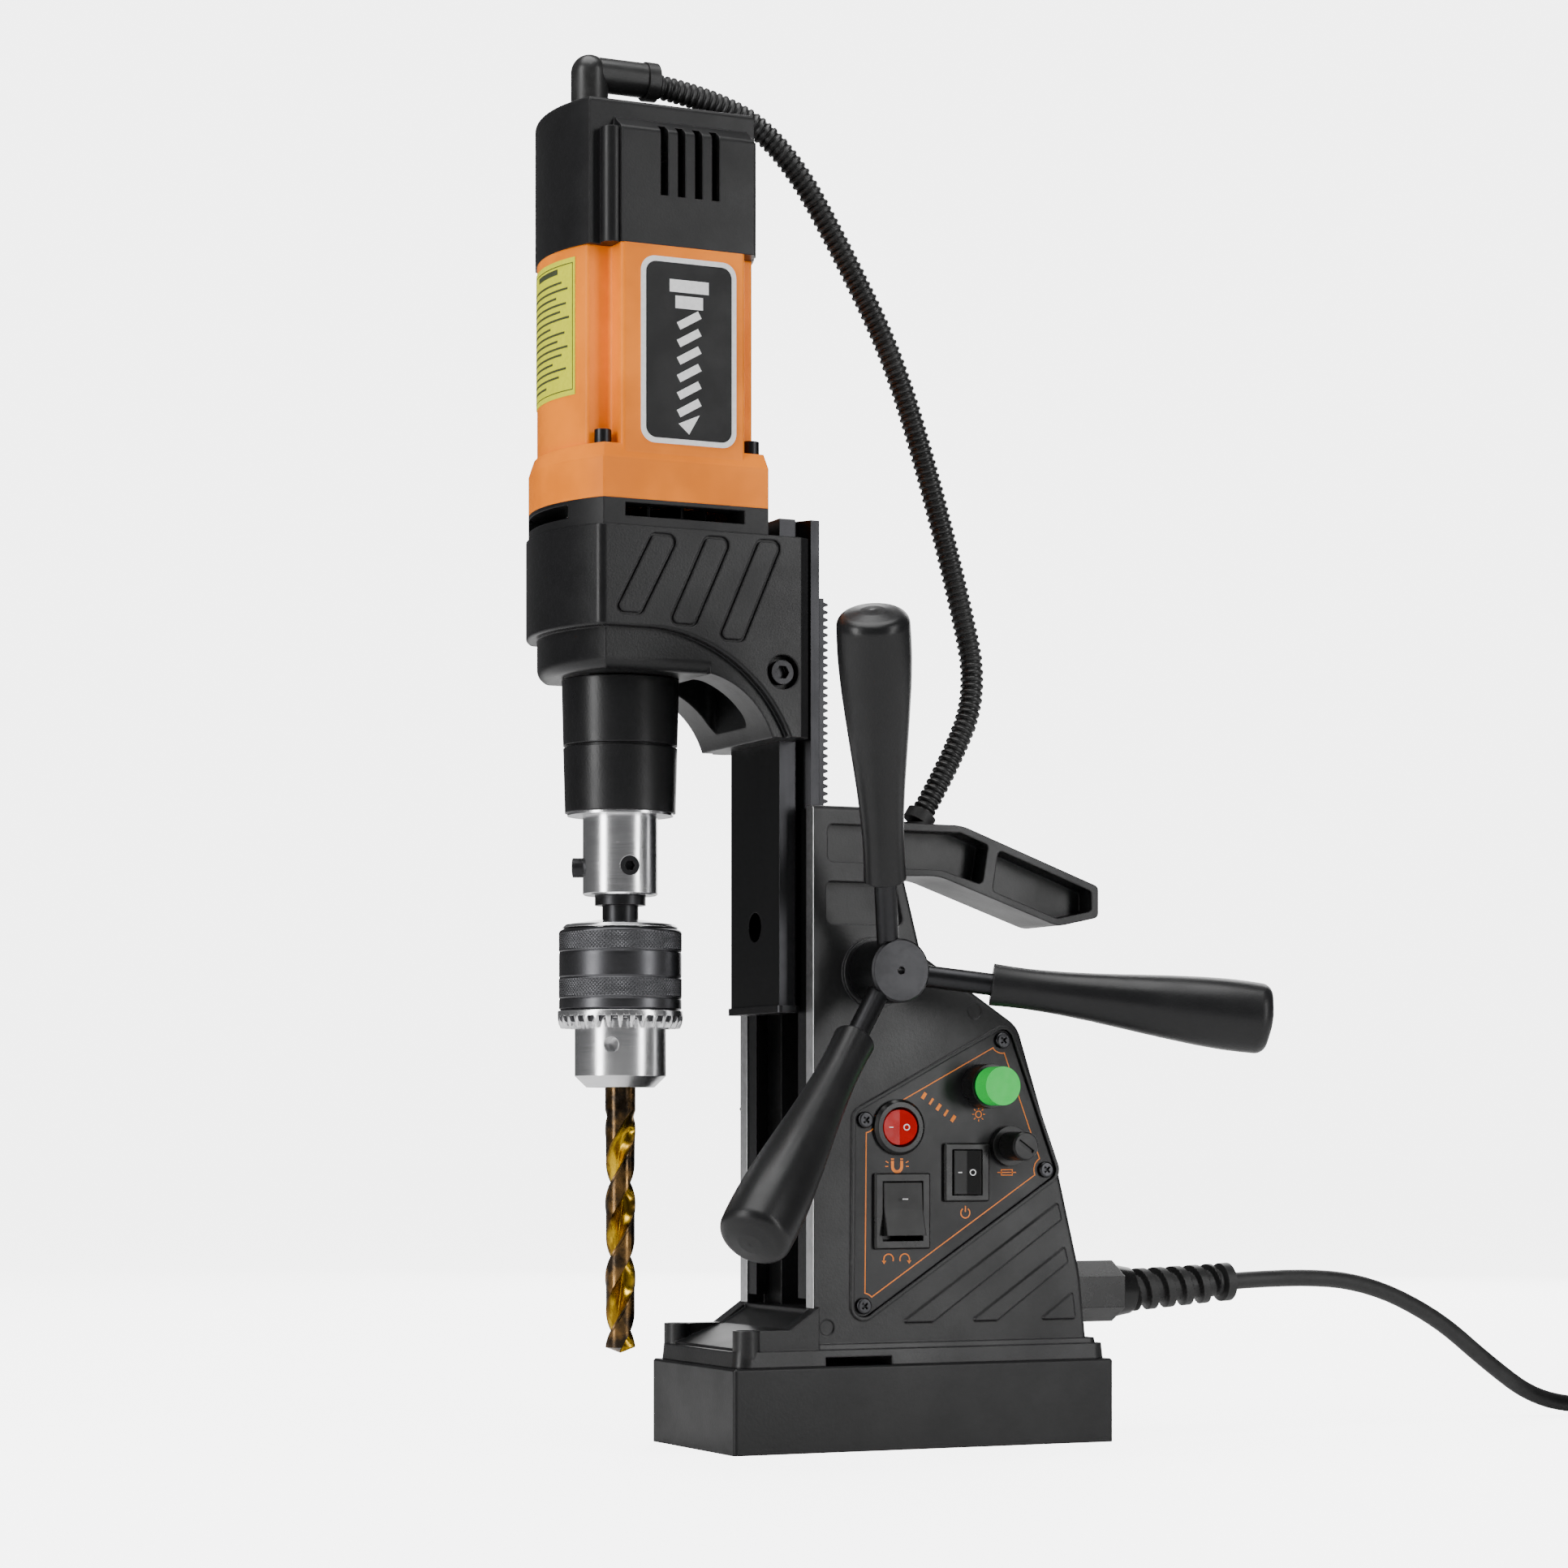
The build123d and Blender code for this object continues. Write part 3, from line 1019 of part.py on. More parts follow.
# ---------------------------------------------------------------- motor end cover
COVER_HALF = 29.5
SIDE_BOSS_TOP = 530.0
VENT_SLOTS = [-115.9 + 7.45 * k for k in range(4)]
with BuildPart() as motor_end_cover:
    with BuildSketch(level(SEAM_Z)):
        add(bowed_plan(BODY_FRONT, BODY_BOW, BODY_REAR, COVER_HALF, BODY_REAR_BOW))
    extrude(amount=COVER_TOP - SEAM_Z)
    fillet(motor_end_cover.edges().group_by(Axis.Z)[-1], 2.5)
    with BuildSketch(facing_x(FLAT_FRONT)):
        add(outline(((-FLAT_HALF, SEAM_Z), (-FLAT_HALF, SIDE_BOSS_TOP), (-COVER_HALF + 1, SIDE_BOSS_TOP + 6),
                     (COVER_HALF - 1, SIDE_BOSS_TOP + 6), (FLAT_HALF, SIDE_BOSS_TOP), (FLAT_HALF, SEAM_Z)),
                    (0, 3, 0, 0, 3, 0)))
    extrude(amount=FLAT_REAR + 4 - FLAT_FRONT)
    with BuildSketch(level(SEAM_Z)):
        with Locations(*[(x, side * 32.2) for x in (FLAT_FRONT - 2.2, FLAT_REAR + 2.2) for side in (-1, 1)]):
            Circle(4.4)
    extrude(amount=SIDE_BOSS_TOP - SEAM_Z)
    with BuildSketch(level(SEAM_Z)):
        add(bowed_plan(BODY_FRONT + 4, BODY_BOW, BODY_REAR - 4, COVER_HALF - 3, BODY_REAR_BOW))
        with Locations((MOTOR_X, 0)):
            Rectangle(46, 2 * FLAT_HALF - 6)
    extrude(amount=SIDE_BOSS_TOP - 4 - SEAM_Z, mode=Mode.SUBTRACT)
    with BuildSketch(level(SEAM_Z)):
        add(bowed_plan(BODY_FRONT + 4, BODY_BOW, BODY_REAR - 4, COVER_HALF - 3, BODY_REAR_BOW))
    extrude(amount=COVER_TOP - 4 - SEAM_Z, mode=Mode.SUBTRACT)
    with BuildSketch(near(0)):
        with Locations(*[(x, 518.2) for x in VENT_SLOTS]):
            Rectangle(3.3, 28.4)
    extrude(amount=60, both=True, mode=Mode.SUBTRACT)
    with BuildSketch(level(COVER_TOP - 3, MOTOR_X)):
        Circle(SMALL_BEARING_R + 3)
    extrude(amount=-11)
    with BuildSketch(level(COVER_TOP - 5, MOTOR_X)):
        Circle(SMALL_BEARING_R)
    extrude(amount=-12, mode=Mode.SUBTRACT)
    with BuildSketch(level(COVER_TOP, ELBOW_X)):
        Circle(5)
    extrude(amount=-10, mode=Mode.SUBTRACT)
save(motor_end_cover.part, "motor_end_cover")

with BuildPart() as cable_elbow:
    with BuildSketch(level(COVER_TOP, ELBOW_X)):
        Circle(8.4)
    extrude(amount=3)
    with BuildSketch(level(COVER_TOP, ELBOW_X)):
        Circle(7.6)
    extrude(amount=ELBOW_Z - COVER_TOP)
    with Locations((ELBOW_X, 0, ELBOW_Z)):
        Sphere(7.6)
    with BuildSketch(facing_x(ELBOW_X, 0, ELBOW_Z)):
        Circle(7.0)
    extrude(amount=COLLAR_END - ELBOW_X - 4)
    with BuildSketch(facing_x(COLLAR_END - 5, 0, ELBOW_Z - 0.4)):
        Circle(7.9)
    extrude(amount=5)
    with BuildSketch(facing_x(COLLAR_END, 0, ELBOW_Z)):
        Circle(4)
    extrude(amount=ELBOW_X - COLLAR_END, mode=Mode.SUBTRACT)
    with BuildSketch(level(COVER_TOP, ELBOW_X)):
        Circle(4)
    extrude(amount=ELBOW_Z - COVER_TOP, mode=Mode.SUBTRACT)
save(cable_elbow.part, "cable_elbow")

# ---------------------------------------------------------------- motor inside
ROTOR_Z = (402.0, 453.0)
with BuildPart() as stator:
    for r_out, r_in, z_from, z_to in ((MOTOR_BORE - 0.1, 21.0, 400, 455), (31, 23, 390, 400), (31, 23, 455, 463)):
        with BuildSketch(level(z_from, MOTOR_X)):
            Circle(r_out)
            Circle(r_in, mode=Mode.SUBTRACT)
        extrude(amount=z_to - z_from)
save(stator.part, "stator")

with BuildPart() as brush_holders:
    for side in (-1, 1):
        with BuildSketch(near(side * 12.4)):
            with Locations((MOTOR_X, 472)):
                Rectangle(9, 11)
        extrude(amount=-side * 19.5)
save(brush_holders.part, "brush_holders")

ARMATURE_PINION = (1.0, 10, 344.0, 356.5)
with BuildPart() as armature_shaft:
    with BuildSketch(level(ARMATURE_PINION[2], MOTOR_X)):
        add(outline(gear_outline(ARMATURE_PINION[0], ARMATURE_PINION[1], 180 / ARMATURE_PINION[1])))
    extrude(amount=ARMATURE_PINION[3] - ARMATURE_PINION[2])
    with BuildSketch(level(ARMATURE_PINION[3], MOTOR_X)):
        Circle(SHAFT_SMALL_R - RUN)
    extrude(amount=537 - ARMATURE_PINION[3])
save(armature_shaft.part, "armature_shaft")

with BuildPart() as rotor_core:
    for r, z_from, z_to in ((20.3, *ROTOR_Z), (16.5, 394, 402), (16.5, 453, 461), (12, 464, 481), (9, 461, 464)):
        with BuildSketch(level(z_from, MOTOR_X)):
            Circle(r)
        extrude(amount=z_to - z_from)
    with BuildSketch(level(390, MOTOR_X)):
        Circle(SHAFT_SMALL_R - RUN)
    extrude(amount=100, mode=Mode.SUBTRACT)
save(rotor_core.part, "rotor_core")

with BuildPart() as cooling_fan:
    with BuildSketch(level(375.5, MOTOR_X)):
        Circle(28)
    extrude(amount=1.6)
    with BuildSketch(level(375.5, MOTOR_X)):
        Circle(9)
    extrude(amount=8)
    with BuildSketch(level(375.5, MOTOR_X)):
        with PolarLocations(18, 12):
            Rectangle(19, 1.4, rotation=20)
    extrude(amount=7)
    with BuildSketch(level(370, MOTOR_X)):
        Circle(SHAFT_SMALL_R - RUN)
    extrude(amount=20, mode=Mode.SUBTRACT)
save(cooling_fan.part, "cooling_fan")

# ---------------------------------------------------------------- gear train
GEAR_MODULE, SPINDLE_TEETH, COUNTER_PINION_TEETH = 1.25, 39, 13
COUNTER_TEETH = 30
with BuildPart() as countershaft:
    with BuildSketch(level(332, COUNTER_X)):
        add(outline(gear_outline(GEAR_MODULE, COUNTER_PINION_TEETH, 180 + 180 / COUNTER_PINION_TEETH)))
    extrude(amount=10.5)
    with BuildSketch(level(345, COUNTER_X)):
        add(outline(gear_outline(1.0, COUNTER_TEETH, 180)))
    extrude(amount=8)
    with BuildSketch(level(325, COUNTER_X)):
        Circle(SHAFT_SMALL_R - RUN)
    extrude(amount=45)
save(countershaft.part, "countershaft")

with BuildPart() as spindle_gear:
    with BuildSketch(level(332.5, SPINDLE_X)):
        add(outline(gear_outline(GEAR_MODULE, SPINDLE_TEETH, 0)))
        Circle(SPINDLE_SHAFT_R - RUN, mode=Mode.SUBTRACT)
    extrude(amount=9)
save(spindle_gear.part, "spindle_gear")

with BuildPart() as bearings:
    rings = ((SPINDLE_X, BEARING_R, SPINDLE_SHAFT_R, 315.6, 323.0),
             (SPINDLE_X, BEARING_R, SPINDLE_SHAFT_R, 323.4, 330.8),
             (COUNTER_X, SMALL_BEARING_R, SHAFT_SMALL_R, 325.0, 330.6),
             (COUNTER_X, SMALL_BEARING_R, SHAFT_SMALL_R, 364.5, 370.2),
             (MOTOR_X, ARMATURE_BEARING_R, SHAFT_SMALL_R, 364.5, 371.0),
             (MOTOR_X, SMALL_BEARING_R, SHAFT_SMALL_R, 530.0, 537.0))
    for x, r_out, r_in, z_from, z_to in rings:
        with BuildSketch(level(z_from, x)):
            Circle(r_out)
            Circle(r_in, mode=Mode.SUBTRACT)
        extrude(amount=z_to - z_from)
save(bearings.part, "bearings")

# ---------------------------------------------------------------- spindle, arbor, adapter
SPINDLE_FOOT = 260.0
save(turned(((9.0, SPINDLE_FOOT), (22.6, SPINDLE_FOOT), (23.3, 286.2), (21.9, 286.2), (21.9, 287.3), (23.3, 287.3),
             (23.9, 314.0), (SPINDLE_SHAFT_R - RUN, 314.0), (SPINDLE_SHAFT_R - RUN, 342.0), (0, 342.0), (0, 320.0),
             (7.6, 318.0)), SPINDLE_X), "spindle_sleeve")

SET_SCREWS = ((-97.5, 14.8), (150.0, 19.5))  # azimuth, outer end radius
SET_SCREW_Z, SET_SCREW_R = 238.0, 4.0


def radial_plane(azimuth, r, z):
    """A plane on the spindle axis side, facing outward at this azimuth."""
    a = radians(azimuth)
    outward = Vector(cos(a), sin(a), 0)
    return Plane(origin=Vector(SPINDLE_X, 0, z) + outward * r, x_dir=(-sin(a), cos(a), 0), z_dir=outward)


with BuildPart() as arbor:
    add(turned(((9.55, 226.5), (14.6, 226.5), (15.3, 227.2), (15.3, 258.8), (21.6, 258.8), (21.6, SPINDLE_FOOT),
                (8.95, SPINDLE_FOOT), (7.6, 316.0), (0, 316.0), (0, 252.0), (9.55, 252.0)), SPINDLE_X))
    for azimuth, _ in SET_SCREWS:
        with BuildSketch(radial_plane(azimuth, 9.6, SET_SCREW_Z)):
            Circle(SET_SCREW_R)
        extrude(amount=12, mode=Mode.SUBTRACT)
save(arbor.part, "arbor")

with BuildPart() as arbor_set_screws:
    for azimuth, outer in SET_SCREWS:
        with BuildSketch(radial_plane(azimuth, outer, SET_SCREW_Z)):
            Circle(SET_SCREW_R)
        extrude(amount=-(outer - 9.9))
        with BuildSketch(radial_plane(azimuth, outer, SET_SCREW_Z)):
            RegularPolygon(2.2, 6)
        extrude(amount=-3.5, mode=Mode.SUBTRACT)
save(arbor_set_screws.part, "arbor_set_screws")

save(turned(((0, 190.0), (7.0, 190.0), (7.6, 216.2), (7.4, 216.4), (7.4, 222.5), (10.4, 222.5), (10.4, 226.4),
             (9.5, 226.4), (9.5, 250.0), (0, 250.0)), SPINDLE_X), "chuck_adapter")

# ---------------------------------------------------------------- chuck, jaws, drill
CHUCK_BODY_R, CHUCK_FOOT = 18.6, 148.4
KEY_AZIMUTH, KEY_Z = -124.0, 165.5
JAW_AZIMUTHS = tuple(KEY_AZIMUTH + 60 + 120 * k for k in range(3))
JAW_TILT, JAW_R, JAW_START, JAW_LENGTH = 14.0, 3.2, (8.2, 149.0), 26.0


def jaw_plane(azimuth, along):
    """A plane across a jaw's bore, at this distance up the bore."""
    a, t = radians(azimuth), radians(JAW_TILT)
    axis = Vector(sin(t) * cos(a), sin(t) * sin(a), cos(t))
    start = Vector(SPINDLE_X + JAW_START[0] * cos(a), JAW_START[0] * sin(a), JAW_START[1])
    return Plane(origin=start + axis * along, x_dir=(-sin(a), cos(a), 0), z_dir=axis)


with BuildPart() as chuck_body:
    add(turned(((8.2, CHUCK_FOOT), (13.9, CHUCK_FOOT), (CHUCK_BODY_R, 153.0), (CHUCK_BODY_R, 213.3), (23.6, 213.3),
                (22.4, 214.6), (12, 216.2), (7.65, 216.2), (7.05, 189.9), (0, 189.9), (0, 181.0), (8.2, 178.0)),
               SPINDLE_X))
    for k in range(3):
        with BuildSketch(radial_plane(KEY_AZIMUTH + 120 * k, 10, KEY_Z)):
            Circle(3.0)
        extrude(amount=12, mode=Mode.SUBTRACT)
    for azimuth in JAW_AZIMUTHS:
        with BuildSketch(jaw_plane(azimuth, -6)):
            Circle(JAW_R + 0.06)
        extrude(amount=60, mode=Mode.SUBTRACT)
save(chuck_body.part, "chuck_body")

for k, azimuth in enumerate(JAW_AZIMUTHS):
    with BuildPart() as jaw:
        with BuildSketch(jaw_plane(azimuth, -3)):
            Circle(JAW_R)
        extrude(amount=JAW_LENGTH + 3)
        with BuildSketch(level(JAW_START[1] + 0.2, SPINDLE_X)):
            Circle(30)
        extrude(amount=-10, mode=Mode.SUBTRACT)
        with BuildSketch(level(140, SPINDLE_X)):
            Circle(DRILL_R + 0.1)
        extrude(amount=60, mode=Mode.SUBTRACT)
    save(jaw.part, f"chuck_jaw_{k + 1}")

SLEEVE_BORE, SLEEVE_R, KEY_TEETH = CHUCK_BODY_R + RUN, 25.1, 34
with BuildPart() as chuck_sleeve:
    add(turned(((SLEEVE_BORE, 172.3), (23.8, 172.3), (25.5, 175.4), (25.5, 179.0), (SLEEVE_R, 179.4),
                (SLEEVE_R, 210.9), (23.2, 212.9), (SLEEVE_BORE, 212.9), (SLEEVE_BORE, 205.0), (21.6, 205.0),
                (21.6, 176.2), (SLEEVE_BORE, 176.2)), SPINDLE_X))
    with Locations((SPINDLE_X, 0, 172.3)):
        with PolarLocations(24.2, KEY_TEETH):
            Box(7, 2.2, 2.2, rotation=(45, 0, 0), mode=Mode.SUBTRACT)
save(chuck_sleeve.part, "chuck_sleeve")

save(turned(((0, 40.2), (DRILL_R, 42.6), (DRILL_R, 177.0), (0, 177.0)), SPINDLE_X), "drill_bit")
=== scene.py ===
import json
from math import atan2, copysign, cos, degrees, hypot, pi, radians, sin, tau

import bmesh
import bpy
from mathutils import Matrix, Vector


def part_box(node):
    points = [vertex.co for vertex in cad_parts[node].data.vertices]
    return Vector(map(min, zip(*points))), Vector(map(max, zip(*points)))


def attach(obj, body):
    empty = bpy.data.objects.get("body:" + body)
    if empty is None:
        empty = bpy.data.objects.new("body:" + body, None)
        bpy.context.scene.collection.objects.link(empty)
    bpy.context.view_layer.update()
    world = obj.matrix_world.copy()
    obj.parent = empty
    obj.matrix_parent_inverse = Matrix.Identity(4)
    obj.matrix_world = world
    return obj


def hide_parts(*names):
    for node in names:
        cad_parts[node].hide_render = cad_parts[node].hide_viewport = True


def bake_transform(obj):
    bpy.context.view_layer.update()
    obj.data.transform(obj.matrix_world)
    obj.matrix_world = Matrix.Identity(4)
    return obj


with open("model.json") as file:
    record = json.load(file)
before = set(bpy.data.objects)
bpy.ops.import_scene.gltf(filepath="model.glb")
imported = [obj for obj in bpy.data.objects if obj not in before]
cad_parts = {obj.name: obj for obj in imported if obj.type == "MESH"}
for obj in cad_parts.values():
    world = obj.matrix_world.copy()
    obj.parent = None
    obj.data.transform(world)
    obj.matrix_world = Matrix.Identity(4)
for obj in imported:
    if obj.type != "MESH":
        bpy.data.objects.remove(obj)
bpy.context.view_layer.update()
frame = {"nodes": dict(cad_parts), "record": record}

MM = 0.001
STAND_FRONT = -49.5  # the machined front of the stand
BARE_FOOT, BARE_INNER = 58.5, 28.5  # where its bare strips start, above the foot and beside the groove
NODES = frame["nodes"]
COLLECTION = bpy.context.scene.collection


def box_mm(node):
    """Lowest and highest corner of a CAD node in millimetres."""
    low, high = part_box(node)
    return low / MM, high / MM


# ---------------------------------------------------------------- camera
camera_data = bpy.data.cameras.new("camera")
camera_data.sensor_width = 36
camera_data.lens = 86.76
camera_data.shift_y = 0.2217
camera_data.clip_end = 50
camera = bpy.data.objects.new("camera", camera_data)
camera.location = (-0.7108, -1.4240, 0.1304)
camera.rotation_euler = (radians(90), 0, radians(-25.03))
COLLECTION.objects.link(camera)
bpy.context.scene.camera = camera


# ---------------------------------------------------------------- node materials
class Shader:
    """A Principled material whose colour, roughness and normal come from procedural nodes."""

    def __init__(self, name, metallic=0.0, rough=0.5, **sockets):
        self.material = bpy.data.materials.new(name)
        self.material.use_nodes = True
        self.tree = self.material.node_tree
        self.bsdf = self.tree.nodes["Principled BSDF"]
        self.put("Metallic", metallic)
        self.put("Roughness", rough)
        for socket, value in sockets.items():
            self.put(socket.replace("_", " "), value)
        self.coords = self.node("ShaderNodeTexCoord").outputs["Object"]

    def put(self, socket, value):
        self.bsdf.inputs[socket].default_value = value

    def node(self, kind, **settings):
        made = self.tree.nodes.new(kind)
        for key, value in settings.items():
            setattr(made, key, value)
        return made

    def link(self, source, target):
        self.tree.links.new(source, target)

    def scaled(self, factors):
        """The object coordinates, stretched by a factor along each axis."""
        mapping = self.node("ShaderNodeMapping")
        mapping.inputs["Scale"].default_value = factors
        self.link(self.coords, mapping.inputs["Vector"])
        return mapping.outputs["Vector"]

    def noise(self, scale, detail=4.0, rough=0.55, vector=None):
        made = self.node("ShaderNodeTexNoise")
        made.inputs["Scale"].default_value = scale
        made.inputs["Detail"].default_value = detail
        made.inputs["Roughness"].default_value = rough
        self.link(vector or self.coords, made.inputs["Vector"])
        return made.outputs["Fac"]

    def math(self, operation, a, b=None):
        made = self.node("ShaderNodeMath", operation=operation)
        for socket, value in zip(made.inputs, (a, b)):
            if value is None:
                continue
            if isinstance(value, (int, float)):
                socket.default_value = value
            else:
                self.link(value, socket)
        return made.outputs[0]

    def span(self, value, low, high, out_low, out_high):
        """Maps low..high to out_low..out_high smoothly, clamped."""
        made = self.node("ShaderNodeMapRange", interpolation_type="SMOOTHSTEP")
        for index, number in enumerate((low, high, out_low, out_high), start=1):
            made.inputs[index].default_value = number
        self.link(value, made.inputs[0])
        return made.outputs[0]

    def axis(self, letter):
        """One object coordinate, in metres."""
        made = self.node("ShaderNodeSeparateXYZ")
        self.link(self.coords, made.inputs[0])
        return made.outputs[letter]

    def mix(self, factor, a, b):
        """Mixes two colours; each is a tuple or an output."""
        made = self.node("ShaderNodeMix", data_type="RGBA")
        for socket, value in zip((made.inputs[0], made.inputs[6], made.inputs[7]), (factor, a, b)):
            if isinstance(value, tuple):
                socket.default_value = (*value, 1.0)
            elif isinstance(value, (int, float)):
                socket.default_value = value
            else:
                self.link(value, socket)
        return made.outputs[2]

    def edge(self, radius):
        """1 on the outer edges and corners, 0 on flat faces; also gives the rounded normal."""
        bevel = self.node("ShaderNodeBevel", samples=6)
        bevel.inputs["Radius"].default_value = radius
        geometry = self.node("ShaderNodeNewGeometry")
        dot = self.node("ShaderNodeVectorMath", operation="DOT_PRODUCT")
        self.link(bevel.outputs[0], dot.inputs[0])
        self.link(geometry.outputs["Normal"], dot.inputs[1])
        away = self.math("SUBTRACT", 1.0, dot.outputs["Value"])
        return self.span(away, 0.02, 0.2, 0.0, 1.0), bevel.outputs[0]

    def bump(self, height, strength, distance, normal=None):
        """A normal raised by a height; distance is in metres."""
        made = self.node("ShaderNodeBump")
        made.inputs["Strength"].default_value = strength
        made.inputs["Distance"].default_value = distance
        self.link(height, made.inputs["Height"])
        if normal is not None:
            self.link(normal, made.inputs["Normal"])
        return made.outputs[0]

    def finish(self, colour=None, rough=None, normal=None, metallic=None):
        for socket, value in (("Base Color", colour), ("Roughness", rough), ("Normal", normal),
                              ("Metallic", metallic)):
            if value is not None:
                self.link(value, self.bsdf.inputs[socket])
        return self.material


def blotched(s, colour, amount, scale):
    """The base colour, a little lighter and darker in soft patches."""
    darker = tuple(c * (1 - amount) for c in colour)
    lighter = tuple(min(1.0, c * (1 + amount)) for c in colour)
    return s.mix(s.span(s.noise(scale, 3), 0.35, 0.65, 0.0, 1.0), darker, lighter)


def coated(name, colour, rough, grain=900, grain_height=0.00006, edge_radius=0.0005, edge_rub_and_highlight_colour=None,
           edge_rub_and_highlight=0.5, **sockets):
    """Paint, powder coat or moulded plastic: fine grain, patchy gloss, and lighter edges that are partly rubbed
    wear and partly a painted highlight.
    """
    s = Shader(name, 0.0, rough, **{"Specular_IOR_Level": 0.3, **sockets})
    edge, rounded = s.edge(edge_radius)
    base = blotched(s, colour, 0.14, 24)
    # the lighter edge colour is partly rubbed wear and partly a painted highlight on the edges; the small
    # specks use it too
    rub_and_highlight_colour = edge_rub_and_highlight_colour or tuple(min(1.0, c * 2.2 + 0.015) for c in colour)
    rubbed_and_highlit_edge = s.math("MULTIPLY", edge, s.span(s.noise(140, 5, 0.7), 0.42, 0.66, 0.0, edge_rub_and_highlight))
    speck = s.span(s.noise(2600, 2), 0.66, 0.74, 0.0, 0.10)
    colour_out = s.mix(rubbed_and_highlit_edge, s.mix(speck, base, rub_and_highlight_colour), rub_and_highlight_colour)
    smears = s.span(s.noise(18, 5, 0.65), 0.3, 0.75, rough - 0.07, rough + 0.09)
    fine = s.noise(grain, 2, 0.6)
    return s.finish(colour_out, smears, s.bump(fine, 0.5, grain_height, rounded))


def plain_metal(name, colour, rough, stretch=(60, 60, 2400)):
    """Turned or ground metal: fine lines, round about or along, with soft stains and a painted highlight on its
    edges.
    """
    s = Shader(name, 1.0, rough)
    edge, rounded = s.edge(0.0003)
    lines = s.noise(1.0, 4, 0.7, s.scaled(stretch))
    stains = s.span(s.noise(55, 4, 0.6), 0.35, 0.7, 0.0, 1.0)
    shade = s.mix(s.math("MULTIPLY", stains, 0.45), colour, tuple(c * 0.72 for c in colour))
    # painted highlight: the edges are brighter in colour
    bright = s.mix(s.math("MULTIPLY", edge, 0.5), shade, tuple(min(1.0, c * 1.3 + 0.03) for c in colour))
    gloss = s.math("ADD", s.span(lines, 0.3, 0.7, rough - 0.02, rough + 0.03),
                   s.math("MULTIPLY", stains, 0.05))
    return s.finish(bright, gloss, s.bump(lines, 0.03, 0.00002, rounded))


def stand_paint():
    """Black powder coat, with the ground strips beside the slide's groove left bare."""
    s = Shader("stand_black", 0.0, 0.4, Specular_IOR_Level=0.38)
    edge, rounded = s.edge(0.0009)
    base = blotched(s, (0.008, 0.008, 0.0085), 0.2, 22)
    # lighter edges: partly rubbed wear, partly a painted highlight
    rubbed_and_highlit_edge = s.math("MULTIPLY", edge, s.span(s.noise(120, 5, 0.7), 0.45, 0.7, 0.0, 0.35))
    painted = s.mix(rubbed_and_highlit_edge, base, (0.10, 0.10, 0.105))
    front = s.math("LESS_THAN", s.axis("X"), (STAND_FRONT + 0.15) * MM)
    above = s.math("GREATER_THAN", s.axis("Z"), BARE_FOOT * MM)
    beside = s.math("GREATER_THAN", s.math("ABSOLUTE", s.axis("Y")), BARE_INNER * MM)
    bare = s.math("MULTIPLY", s.math("MULTIPLY", front, above), beside)
    ground = s.mix(s.noise(260, 4), (0.42, 0.42, 0.43), (0.78, 0.78, 0.79))
    rough = s.mix(bare, s.span(s.noise(15, 5, 0.6), 0.3, 0.75, 0.33, 0.47), (0.36, 0.36, 0.36))
    fine = s.noise(1100, 2, 0.6)
    return s.finish(s.mix(bare, painted, ground), rough, s.bump(fine, 0.55, 0.00009, rounded), bare)


def drill_metal():
    """Gold-tempered flutes with dark lands and a streaked shank."""
    s = Shader("drill_gold", 1.0, 0.25)
    flute = s.node("ShaderNodeAttribute", attribute_name="flute").outputs["Fac"]
    streaks = s.noise(1.0, 4, 0.6, s.scaled((420, 420, 22)))
    gold = s.mix(s.span(streaks, 0.35, 0.62, 0.0, 1.0), (0.68, 0.42, 0.015), (0.24, 0.13, 0.01))
    dark = s.mix(s.span(s.noise(120, 4), 0.4, 0.7, 0.0, 1.0), (0.035, 0.026, 0.018), (0.22, 0.12, 0.04))
    colour = s.mix(flute, dark, gold)
    rough = s.span(s.noise(200, 4), 0.3, 0.7, 0.16, 0.34)
    return s.finish(colour, rough, s.bump(s.noise(1.0, 3, 0.6, s.scaled((90, 90, 2600))), 0.25, 0.00002))


def lens_glow(name, colour, glow, strength):
    """A plastic lens that glows in the middle and is deeper at the rim; on the pilot lamp this is its own
    light, on the red rocker the glow is painted light.
    """
    s = Shader(name, 0.0, 0.3, Specular_IOR_Level=0.12)
    s.put("Emission Strength", strength)
    shade = s.mix(s.span(s.noise(130, 3), 0.35, 0.65, 0.0, 1.0), colour, tuple(c * 0.8 for c in colour))
    rim = s.node("ShaderNodeLayerWeight")
    rim.inputs["Blend"].default_value = 0.35
    shining = s.mix(rim.outputs["Facing"], glow, tuple(c * 0.35 for c in glow))
    s.link(shining, s.bsdf.inputs["Emission Color"])
    rough = s.span(s.noise(300, 3), 0.3, 0.7, 0.18, 0.28)
    return s.finish(shade, rough, s.bump(s.noise(700, 2), 0.2, 0.00003))


def printed(name, colour, rough=0.42):
    """Thin screen print or label stock with faint ink variation."""
    s = Shader(name, 0.0, rough, Specular_IOR_Level=0.25)
    shade = s.mix(s.span(s.noise(600, 4), 0.3, 0.7, 0.0, 0.5), colour, tuple(c * 0.8 for c in colour))
    rough_out = s.span(s.noise(60, 4), 0.3, 0.7, rough - 0.05, rough + 0.08)
    return s.finish(shade, rough_out, s.bump(s.noise(1500, 2), 0.2, 0.00002))


def rubber(name, colour=(0.012, 0.012, 0.012), rough=0.5, grain=1500):
    """Soft black moulding with faint bloom."""
    s = Shader(name, 0.0, rough, Specular_IOR_Level=0.4)
    bloom = s.span(s.noise(70, 6, 0.7), 0.42, 0.72, 0.0, 0.5)
    shade = s.mix(bloom, colour, tuple(c * 2.0 + 0.008 for c in colour))
    rough_out = s.span(s.noise(35, 5), 0.3, 0.75, rough - 0.08, rough + 0.1)
    return s.finish(shade, rough_out, s.bump(s.noise(grain, 3, 0.6), 0.45, 0.00007))


